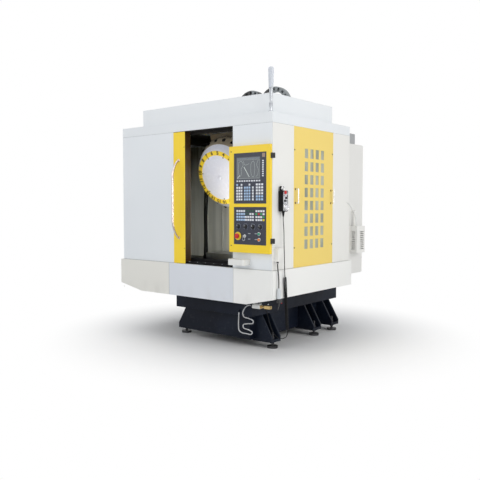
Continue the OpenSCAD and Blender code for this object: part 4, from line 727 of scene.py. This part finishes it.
# %% Door handle and door screws
x_bar, bar_ends = -0.360, (1.0145, 1.7695)
bow = bent([(x_bar, y, z) for y, z in mm([(-857, 1018), (-898.5, 1062), (-931, 1150), (-931, 1634),
                                          (-898.5, 1722), (-857, 1766)])], 0.045, 10)
low_end, high_end = ([(x_bar, -0.846, z)] for z in bar_ends)
flange = lathe([(0, 0), (16.5, 0), (16.5, 3), (14.5, 5.5), (10, 6), (0, 6)], 32)
bow_handle = [tube(np.vstack([low_end, bow, high_end]), 0.010, 20)]
bow_handle += [on_front(flange, (x_bar, front_y, z)) for z in bar_ends]
handle = piece("door_bow_handle", bow_handle, "front_door", handle_steel_pink_reflection)
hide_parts("door_handle")
screws("door_strip_screws", [(-0.284, -0.8432, 1.897), (-0.284, -0.8432, 0.912)], "front_door", (0, -1, 0),
       screw_steel)

# %% [markdown]
# The operator panel is read from two metres away, so its keys matter more than any other detail.
# A key is a soft rubber cap: a rounded outline that narrows towards its top. Each cap is lofted
# from four outlines, and its colour is a material number. The groups follow the photograph: white
# letters, pale blue numbers and cursor keys, and a few green, red and yellow machine keys.

# %% Keys
board_y = -0.873


def on_board(shape, x, z):
    """The shape on the operator panel's board, its z axis to the front."""
    return on_front(shape, (x, board_y, z))


def keycap(w, h):
    """A rounded cap of w by h mm: foot, body and two smaller outlines that round the top edge."""
    outlines = [rounded(mm(w - 2 * inset), mm(h - 2 * inset), 0.0026, 4) for inset in (0, 0.1, 0.9, 2.1)]
    return loft(outlines, [0, 0.0026, 0.0036, 0.0040])


layout = []


def row(x, step, z, w, h, letters):
    """Adds keys of w by h mm from x on, one for each letter of their colours."""
    layout.extend((x + step * c, z, w, h, "WBGRY".index(letter)) for c, letter in enumerate(letters))


row(408, 27.5, 1548, 18, 13, "W" * 10)
for i in range(8):
    row(694, 0, 1590 + 18.5 * i, 17, 12, "W")
for i in range(6):
    z = 1515 - 26 * i
    if i == 0:
        row(406, 50, z, 17, 17, "BW")
        row(546, 0, z, 17, 17, "W")
    else:
        row(406, 25, z, 18, 18, "WWW")
        row(494, 26, z, 18, 18, "BBB")
        row(584, 0, z, 18, 18, "W")
    row(628, 29, z, 20, 18, "WWW" if i < 4 else "BBB")
for i, (left, right_side, middle) in enumerate((("WWWW", "WWWW", ""), ("BBBB", "GRGW", "WW"),
                                                ("BBBB", "WWWG", "WWWW"), ("BBBB", "WWWY", "WWWW"))):
    z = 1282 - 26 * i
    row(408, 26, z, 20, 17, left)
    row(624, 26, z, 20, 17, right_side)
    row(557 if i == 1 else 507, 26, z, 20, 17, middle)
caps, cap_parts = [], []
for x, z, w, h, colour in layout:
    cap = on_front(keycap(w, h), (mm(x), board_y - 0.0004, mm(z)))
    caps.append(cap)
    cap_parts += [colour] * len(cap[1])
keys = piece("key_caps", caps, "operator_panel", key_paints, parts=cap_parts, weld=False)
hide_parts("keypads")
mat_areas = [(392, 470, 1372, 1528), (480, 560, 1372, 1528), (568, 600, 1372, 1502),
             (612, 704, 1372, 1528), (396, 668, 1538, 1558), (682, 706, 1578, 1732),
             (396, 500, 1188, 1298), (504, 604, 1188, 1272), (612, 716, 1188, 1298)]
mats = [on_board(slab(x1 - x0, z1 - z0, 0.004, -0.0002, 0.0008, 4), (x0 + x1) / 2, (z0 + z1) / 2)
        for x0, x1, z0, z1 in mm(mat_areas)]
piece("key_mats", mats, "operator_panel", moulded("key_mat", (0.035, 0.042, 0.070), 0.5))
dark_keys = [on_front(keycap(20, 17), (0.507 + 0.026 * c, board_y - 0.0004, 1.282 - 0.026 * i))
             for i, count in enumerate((4, 2)) for c in range(count)]
piece("dark_key_caps", dark_keys, "operator_panel", moulded("key_dark_green", (0.03, 0.075, 0.06), 0.5))
print("keys", len(layout) + len(dark_keys))

# %% [markdown]
# The screen is a dull grey glass with a light line drawing of a part on it, as a controller shows
# while it waits. The drawing is thin ribbons of glowing paint on the glass: a frame, four
# outlines and a tool path. Ribbons keep crisp edges, where a shader mask would blur.

# %% Screen
def glow(name, colour, strength):
    """Glass in front of a lit image: dark reflecting base with a faint glow."""
    p = Paint(name)
    p.feed(p.shader.inputs["Emission Color"], colour)
    return p.finish(tuple(0.12 * c for c in colour), 0.16, Emission_Strength=strength)


def ribbon(points, width, height):
    """A flat strip along (x, z) points, raised by height from the screen: p plus and minus w/2 N."""
    t = np.gradient(points, axis=0)
    n = np.column_stack([-t[:, 1], t[:, 0]]) / np.linalg.norm(t, axis=1, keepdims=True)
    both = np.stack([points - n * width / 2, points + n * width / 2], 1).reshape(-1, 2)
    y = np.full(len(both), screen_y - height)
    return np.column_stack([both[:, 0], y, both[:, 1]]), quads(len(points), 2)


screen_y = -0.8698
glass = blocks([0.3925, screen_y + 0.0001, 1.5625], [0.6615, screen_y + 0.0007, 1.7575])
piece("screen_glass", glass, "operator_panel", glow("screen_grey", (0.150, 0.165, 0.180), 0.75))
box = mm([(402, 1572), (402, 1735), (652, 1735), (652, 1572), (402, 1572)])
outlines = [
    [(420, 1715), (452, 1722), (470, 1690), (448, 1655), (452, 1615), (430, 1590), (416, 1640), (420, 1715)],
    [(585, 1722), (560, 1700), (556, 1640), (566, 1595), (590, 1585), (600, 1640), (596, 1700), (585, 1722)],
    [(612, 1585), (632, 1600), (640, 1645), (622, 1690), (640, 1728)],
    [(470, 1728), (492, 1690), (540, 1700)],
]
lines = [ribbon(np.linspace(a, b, 3), 0.0016, 0.0004) for a, b in zip(box[:-1], box[1:])]
lines += [ribbon(curve(mm(route), 6), 0.0026, 0.0004) for route in outlines]
piece("screen_lines", lines, "operator_panel", glow("screen_line", (0.42, 0.47, 0.47), 0.8), weld=False)
tool_path = [ribbon(mm([(480, 1672), (510, 1627), (540, 1582)]), 0.0055, 0.0006),
             ribbon(mm([(405, 1574), (418.5, 1587), (432, 1600)]), 0.0045, 0.0006)]
piece("screen_tool_path", tool_path, "operator_panel", glow("screen_light", (0.62, 0.68, 0.66), 0.85),
      weld=False)
title_bar = blocks([[0.402, screen_y - 0.0006, 1.742], [0.520, screen_y - 0.0006, 1.742]],
                   [[0.512, screen_y - 0.0002, 1.750], [0.652, screen_y - 0.0002, 1.750]])
piece("screen_title_bar", title_bar, "operator_panel", glow("screen_bar", (0.20, 0.25, 0.30), 0.7))
card_slot = [on_board(slab(0.030, 0.034, 0.003, -0.001, 0.0022), 0.700, 1.768)]
card_slot += [on_board(slab(0.020, 0.007, 0.002, 0.002, 0.0034), 0.700, z) for z in (1.776, 1.761)]
piece("memory_card_slot", card_slot, "operator_panel", moulded("beige_moulding", (0.36, 0.26, 0.20), 0.45),
      bevel=0.0006)
print("screen ribbons", len(lines) + len(tool_path))

# %% [markdown]
# A rotary knob is a turned cap with finger flutes, a skirt and a white line that points at a
# printed arc. Flutes are a ripple in the lathe's radius. Each knob belongs to its own moving body,
# so its line turns with it, and the arcs stay on the board.

# %% Knobs and their scales
def fluted(profile, sides, count, depth):
    """A lathe whose radius ripples above its skirt: r (1 - depth |sin(count a / 2)|)."""
    points, faces = lathe(profile, sides)
    a = np.arctan2(points[:, 1], points[:, 0])
    ripple = 1 - depth * np.abs(np.sin(count * a / 2)) * (points[:, 2] > 0.004)
    points[:, :2] *= ripple[:, None]
    return points, faces


knobs = {"jog_knob": 0.419, "feed_knob": 0.502, "rapid_knob": 0.585, "spindle_knob": 0.666}
knob_z = 1.144
knob = fluted([(0, 0.4), (19.5, 0.4), (19.5, 2.4), (17.2, 4.2), (16, 5.5), (15, 18), (14, 20), (11.5, 20.8),
               (0, 20.8)], 72, 18, 0.07)
for node_name, x in knobs.items():
    turned = piece(node_name + "_cap", on_board(knob, x, knob_z), node_name, black_plastic)
    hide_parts(node_name)
    mark = blocks([x - 0.0010, board_y - 0.0214, 1.146], [x + 0.0010, board_y - 0.0206, 1.1575])
    piece(node_name + "_line", mark, node_name, key_white)


def arc_band(r0, r1, a0, a1, steps=24):
    """A flat band of a ring between two angles, as a closed solid 0.6 mm above the board."""
    a = np.radians(np.linspace(a0, a1, steps))
    section = ((r0, -0.0002), (r1, -0.0002), (r1, 0.0006), (r0, 0.0006))
    points = np.stack([np.column_stack([r * np.cos(a), r * np.sin(a), np.full(steps, z)])
                       for r, z in section], 1)
    ends = [[0, 1, 2, 3], [4 * steps - k for k in (1, 2, 3, 4)]]
    return points.reshape(-1, 3), quads(steps, 4, around=True) + ends


scales = []
for x in knobs.values():
    bands = [arc_band(0.0238, 0.0254, -55, 235)]
    bands += [arc_band(0.0262, 0.0300, a - 1.6, a + 1.6, 3) for a in np.linspace(-55, 235, 11)]
    scales += [on_board(band, x, knob_z) for band in bands]
piece("knob_scales", scales, "operator_panel", moulded("print_grey", (0.30, 0.34, 0.42), 0.5))

estop_x, low_z = 0.416, 1.058
collar = lathe([(12.5, 3), (35.5, 3), (37, 4), (36, 5.2), (34, 5.8), (12.5, 5.8), (12.5, 3)], 56)
piece("estop_collar", on_board(collar, estop_x, low_z), "operator_panel", yellow_moulding)
mushroom = lathe([(0, 6.2), (12, 6.2), (12, 13.5), (21.5, 15), (24, 18), (23.6, 22.5), (20.5, 26), (15, 27.8),
                  (7, 28.5), (0, 28.6)], 56)
button = piece("estop_mushroom", on_board(mushroom, estop_x, low_z), "estop_button", red_moulding)
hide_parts("estop_button")

key_x = 0.494
barrel = lathe([(0, 2.6), (15, 2.6), (15.8, 4), (15, 6.2), (11.5, 7.8), (11.2, 9), (0, 9.2)], 40)
blade = blocks([0.4925, board_y - 0.0200, 1.0545], [0.4955, board_y - 0.0080, 1.0615])
a = np.linspace(0, 2 * np.pi, 40)
key_bow = np.column_stack([np.zeros(40), 0.0105 * np.cos(a), 0.0105 * np.sin(a)])
key_ring = np.column_stack([0.0135 * np.cos(a), 0.002 * np.sin(2 * a), 0.0165 * np.sin(a)])
key_parts = [on_board(barrel, key_x, low_z), blade,
             tube(key_bow + (key_x, board_y - 0.0185, low_z), 0.0022, 8),
             tube(key_ring + (key_x, board_y - 0.0200, 1.0345), 0.0014, 8)]
key = piece("key_with_ring", key_parts, "key_switch", ground_steel)
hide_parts("key_switch")

button_x, start_z, hold_z = 0.654, 1.082, 1.031
button_rim = lathe([(11.8, 2.8), (16.5, 2.8), (17, 4.5), (16, 6.2), (13.5, 6.8), (11.8, 6.4), (11.8, 2.8)], 40)
button_cap = lathe([(0, 4), (11.2, 4), (11.2, 11.8), (10, 13.8), (6, 14.8), (0, 15)], 36)
rims = [on_board(button_rim, button_x, z) for z in (start_z, hold_z)]
piece("push_button_rims", rims, "operator_panel", ground_steel)
for node_name, z, paint in (("start_button", start_z, green_moulding),
                            ("hold_button", hold_z, orange_moulding)):
    made = piece(node_name + "_cap", on_board(button_cap, button_x, z), node_name, paint)
    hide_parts(node_name)
strip_areas = mm([(604, 632, 1080), (604, 632, 1029), (530, 556, 1080), (530, 556, 1031)])
strips = blocks([[x0, board_y - 0.0012, z] for x0, _, z in strip_areas],
                [[x1, board_y + 0.0002, z + 0.006] for _, x1, z in strip_areas])
piece("name_strips", strips, "operator_panel", moulded("strip_grey", (0.38, 0.40, 0.44), 0.5), bevel=0.0003)
print("controls", len(knobs) + 4)

# %% [markdown]
# Hinges, screws and plates are what tells a stranger how the covers come off. The panel hangs on
# two black three-knuckle hinges, and each removable sheet shows its row of socket screws.

# %% Hinges and screws of the covers
knuckle = lathe([(0, 0), (8.8, 0), (9.2, 0.6), (9.2, 14.6), (8.8, 15.2), (0, 15.2)], 28)
hinges = []
for z in (1.022, 1.762):
    hinges += [place(knuckle, (0.779, -0.861, z + dz)) for dz in (-0.0232, -0.0076, 0.0080)]
    leaf = slab(0.030, 0.046, 0.004, 0, 0.0026)
    hinges.append(place(leaf, (0.7868, -0.8475, z), (0.72, -0.69, 0), (0.69, 0.72, 0)))
piece("panel_hinge_covers", hinges, "machine", black_plastic, bevel=0.0006)
screws("panel_corner_screws", [(0.336, -0.875, z) for z in (1.812, 0.970)], "operator_panel", (0, -1, 0),
       screw_steel)
corners = ((-0.502, 1.835), (0.160, 1.836), (-0.502, 0.946), (0.160, 0.950))
screws("louvre_panel_screws", [(right_x, y, z) for y, z in corners], "machine", (1, 0, 0), screw_steel, 1.15)
boss = lathe([(0, 0), (10, 0), (10, 2), (8, 7), (6.2, 9), (0, 9)], 28)
bosses = [on_right(boss, (right_x, y, z)) for y in (-0.488, 0.136) for z in (1.355, 1.480)]
piece("louvre_handle_bosses", bosses, "machine", moulded("bronze_brown", (0.22, 0.15, 0.06), 0.4))
screws("sill_screws", [(x, -0.8195, 0.7831) for x in np.arange(-0.24, 0.74, 0.105)], "machine", (0, 0, 1),
       ground_steel, 0.9)
screws("skirt_screws", [(x, -0.867, 0.47) for x in (-1.16, -0.53, -0.43, 0.27, 0.375, 0.75)], "machine",
       (0, -1, 0), skirt_white, 0.8)
print("hinges and screws ready")

# %% [markdown]
# The louvred sheet has 32 windows, and grey-green filter mat shows through them. The mat is one
# sheet behind the slots with a quilted surface: z = z0 + d sin(k y) sin(k z), so light falls on it
# unevenly, as it does on a real mat.

# %% Filter mat
y, z = np.meshgrid(np.linspace(-0.375, 0.035, 150), np.linspace(0.92, 1.90, 350), indexing="ij")
swell = 0.0011 * np.sin(y * 420) * np.sin(z * 420) + 0.0012 * np.sin(y * 37 + 2 * np.sin(z * 9))
front = np.stack([0.7640 + swell, y, z], -1).reshape(-1, 3)
p = Paint("filter_mat")
tone = p.mix((0.27, 0.29, 0.23), (0.46, 0.48, 0.40), p.ramp(p.noise(7.0, 3.0, (1, 1, 0.5)), 0.3, 0.75))
fleece = p.finish(tone, 0.85, bump=p.noise(260.0, 4.0), depth=0.0012)
mat_sheet = piece("louvre_filter_mat", (front, quads(150, 350)), "machine", fleece, weld=False)
thick = mat_sheet.modifiers.new("thickness", "SOLIDIFY")
thick.thickness, thick.offset = 0.006, -1.0
print("filter mat", len(front))

# %% [markdown]
# The hand pendant is a rubber-bound box with a pale face. Its handwheel is a turned dial with a
# knurled rim, and its stop is a small mushroom. All of them keep their own bodies.

# %% Pendant
face_x = 0.824
plate = on_right(slab(0.064, 0.168, 0.010, -0.0006, 0.0010), (face_x, -0.720, 1.370))
piece("pendant_face_plate", plate, "machine", moulded("pendant_silver", (0.60, 0.61, 0.64), 0.4), bevel=0.0004)
prints = [on_right(slab(w, h, 0.0012, -0.0002, 0.0005, 3), (face_x + 0.001, y, z))
          for y, z, w, h in mm([(-703, 1444, 20, 10), (-743, 1416, 12, 10), (-703, 1372, 16, 10),
                                (-746, 1352, 8, 12), (-694, 1415, 8, 16)])]
piece("pendant_face_print", prints, "machine", black_plastic)
ribs = [on_front(slab(0.003, 0.120, 0.0014, 0, 0.0016, 3), (x, -0.7588, 1.370))
        for x in np.linspace(0.788, 0.816, 5)]
piece("pendant_side_ribs", ribs, "machine", black_rubber)
points, faces = lathe([(0, 0.6), (33, 0.6), (33.6, 2), (33.6, 9.2), (32.2, 11.2), (28.5, 11.8), (27, 10.6),
                       (13, 10.6), (12, 12.2), (0, 12.2)], 120)
outer = np.hypot(points[:, 0], points[:, 1]) > 0.0332
knurl = np.sin(60 * np.arctan2(points[outer, 1], points[outer, 0])) > 0
points[outer, :2] *= (1 - 0.018 * knurl)[:, None]
grip = lathe([(0, 0), (5.2, 0), (4.5, 4), (5.8, 12), (6, 14.5), (4, 16.5), (0, 16.8)], 24)
wheel_at = (face_x + 0.001, -0.717, 1.318)
wheel = [on_right((points, faces), wheel_at), on_right(grip, (face_x + 0.0110, -0.695, 1.318))]
handwheel = piece("handwheel_dial", wheel, "pendant_wheel", chrome)
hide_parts("pendant_wheel")
dash = blocks([0.0225, -0.0005, 0.0103], [0.0268, 0.0005, 0.0108])
marks = [place(dash, wheel_at, (1, 0, 0), (0, np.cos(a), np.sin(a)))
         for a in np.linspace(0, 2 * np.pi, 40, endpoint=False)]
piece("handwheel_marks", marks, "pendant_wheel", black_plastic)
small_knob = fluted([(0, 0.4), (11.2, 0.4), (11.2, 2), (9.5, 3.5), (8.8, 15), (7, 16.2), (0, 16.2)],
                    60, 12, 0.09)
for node_name, y, z in (("pendant_axis_knob", -0.715, 1.398), ("pendant_step_knob", -0.732, 1.372)):
    cap = piece(node_name + "_cap", on_right(small_knob, (face_x + 0.0005, y, z)), node_name, black_plastic)
    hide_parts(node_name)
    tick = blocks([face_x + 0.0162, y - 0.0007, z], [face_x + 0.0172, y + 0.0007, z + 0.0070])
    piece(node_name + "_line", tick, node_name, key_white)
small_stop = lathe([(0, 4.5), (8, 4.5), (8, 6.5), (15, 7.8), (16.5, 10.5), (15.5, 14), (11, 15.8),
                    (0, 16.4)], 40)
stop = piece("pendant_stop_cap", on_right(small_stop, (face_x, -0.732, 1.446)), "pendant_stop", red_moulding)
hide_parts("pendant_stop")
a = np.linspace(0, 2 * np.pi, 48)
loop = np.column_stack([np.full(48, 0.8065), -0.7330 + 0.0165 * np.cos(a), 1.4800 + 0.0205 * np.sin(a)])
piece("pendant_hanging_ring", tube(loop, 0.0026, 10), "machine", chrome)
print("pendant ready")

# %% [markdown]
# The signal lamp is a frosted acrylic cylinder on a thin silver stem that flares at both ends.

# %% Signal lamp
stem_profile = [(0, 3.5), (18.5, 3.5), (17, 7), (16, 10), (16, 68), (17, 69.5), (17, 74), (15, 77), (11.2, 91),
                (10.6, 98), (11.5, 120), (15, 165), (19, 203), (20, 206.5), (0, 206.5)]
lens_profile = [(0, 207), (20, 207), (20.3, 209)]
for k in range(25):
    width = 0.3 + 3.6 * min(k / 20, 1)
    lens_profile += [(19.95 + width, 210.5 + 6 * k), (20.1 + width, 213.5 + 6 * k)]
lens_profile += [(23.6, 364), (20.5, 377), (11, 383.5), (0, 384)]
lamp_foot = (0.738, -0.821, 2.140)
lamp = piece("signal_lamp_lens", place(lathe(lens_profile, 48), lamp_foot), "machine", lens)
piece("signal_lamp_stem", place(lathe(stem_profile, 40), lamp_foot), "machine", lamp_silver)
foot = place(slab(0.044, 0.034, 0.006, 0, 0.004), (0.738, -0.820, 2.140))
piece("signal_lamp_foot", foot, "machine", lamp_silver, bevel=0.0008)
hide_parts("signal_lamp")

# %% [markdown]
# The last pieces are small: the black swivel where the air hose leaves its pocket, the thin white
# conduit between the enclosure and the transformer box, and the knob of the cabinet's cover.

# %% Fittings and conduit
swivel = lathe([(0, 0), (6.2, 0), (6.2, 6), (9.8, 7), (10.2, 10), (10.2, 22), (9.8, 24), (11, 25), (11, 31),
                (0, 31)], 32)
piece("air_hose_swivel", place(swivel, (0.802, -0.802, 0.8215)), "machine", black_plastic)
conduit = curve(mm([(774, 466, 1362), (784, 488, 1350), (789, 540, 1305), (788, 605, 1235), (780, 652, 1165),
                    (770, 676, 1113)]), 10)
ripple = 0.0058 + 0.0006 * np.sin(run_length(conduit) * np.linspace(0, 1, len(conduit)) * 900)
piece("transformer_conduit", tube(conduit, ripple, 16), "machine", white_moulding)
knob = lathe([(0, 0), (12, 0), (13, 3), (9, 8), (6, 10), (0, 10)], 28)
piece("cover_knob", on_right(knob, (0.7005, 0.560, 1.224)), "machine", ground_steel)
print("fittings ready")

# %% [markdown]
# The stage is a pale floor and plain soft light. The camera sees white beyond the floor because
# the world's colour differs for camera rays; the object itself is lit at an even, modest level.

# %% Stage and light
# Pale paint that keeps the shadow near the object and fades to pure white away from it.
p = Paint("floor_white")
floor_paint = p.finish(p.mix((0.90, 0.90, 0.90), (0.87, 0.87, 0.875), p.noise(0.6, 3.0)), 0.65)
away = p.ramp(p.wire("ShaderNodeVectorMath", dict(operation="LENGTH"), {0: p.place}, "Value"), 0.9, 2.3)
seen = p.wire("ShaderNodeLightPath", output="Is Camera Ray")
white = p.wire("ShaderNodeEmission", {}, {"Color": (1.0, 1.0, 1.0), "Strength": 1.0})
lit = Wire(p, p.shader.outputs[0])
p.feed(p.end.inputs["Surface"], p.wire("ShaderNodeMixShader", {}, {0: away * seen, 1: lit, 2: white}))
floor = bpy.data.objects.new("floor", bpy.data.meshes.new("floor"))
floor.data.from_pydata([(-14, -14, 0), (14, -14, 0), (14, 14, 0), (-14, 14, 0)], [], [[0, 1, 2, 3]])
floor.data.materials.append(floor_paint)
scene.collection.objects.link(floor)

world = bpy.data.worlds.new("studio")
scene.world = world
world.use_nodes = True
sky = Nodes(world.node_tree)
rays = sky.node("ShaderNodeLightPath")
seen, glossy, through = (Wire(sky, rays.outputs[f"Is {kind} Ray"])
                         for kind in ("Camera", "Glossy", "Transmission"))
for ray in (glossy, through):
    seen = seen.math("MAXIMUM", seen, ray)
dim = sky.wire("ShaderNodeBackground", {}, {"Color": (0.93, 0.96, 1.0), "Strength": 0.45})
bright = sky.wire("ShaderNodeBackground", {}, {"Color": (1, 1, 1), "Strength": 1.0})
choose = sky.wire("ShaderNodeMixShader", {}, {0: seen, 1: dim, 2: bright})
sky.node("ShaderNodeOutputWorld", {}, {"Surface": choose})

lamps = [
    ("key_light", (-1.8, -5.6, 4.2), (0, -0.4, 1.2), 3.5, 97, (1.0, 0.99, 0.97)),
    ("side_light", (5.6, -0.6, 3.1), (0.5, 0, 1.0), 3.5, 126, (1.0, 0.985, 0.955)),
    ("top_light", (0, 0, 6.0), (0, 0, 0), 5.0, 50, (1, 1, 1)),
    ("low_fill", (2.6, -5.0, 0.9), (0.3, -0.8, 0.5), 2.0, 20, (1, 1, 1)),
    ("work_light", (0.56, -0.66, 1.30), (-0.15, 0.10, 1.25), 0.5, 15, (1.0, 0.96, 0.88)),
]
for name, stand, aim, size, power, colour in lamps:
    light = bpy.data.lights.new(name, "AREA")
    light.shape, light.size, light.energy, light.color = "SQUARE", size, power, colour
    made = bpy.data.objects.new(name, light)
    facing = (Vector(aim) - Vector(stand)).to_track_quat("-Z", "Y").to_matrix().to_4x4()
    made.matrix_world = Matrix.Translation(stand) @ facing
    scene.collection.objects.link(made)
scene.view_settings.view_transform = "Standard"
print("stage ready")
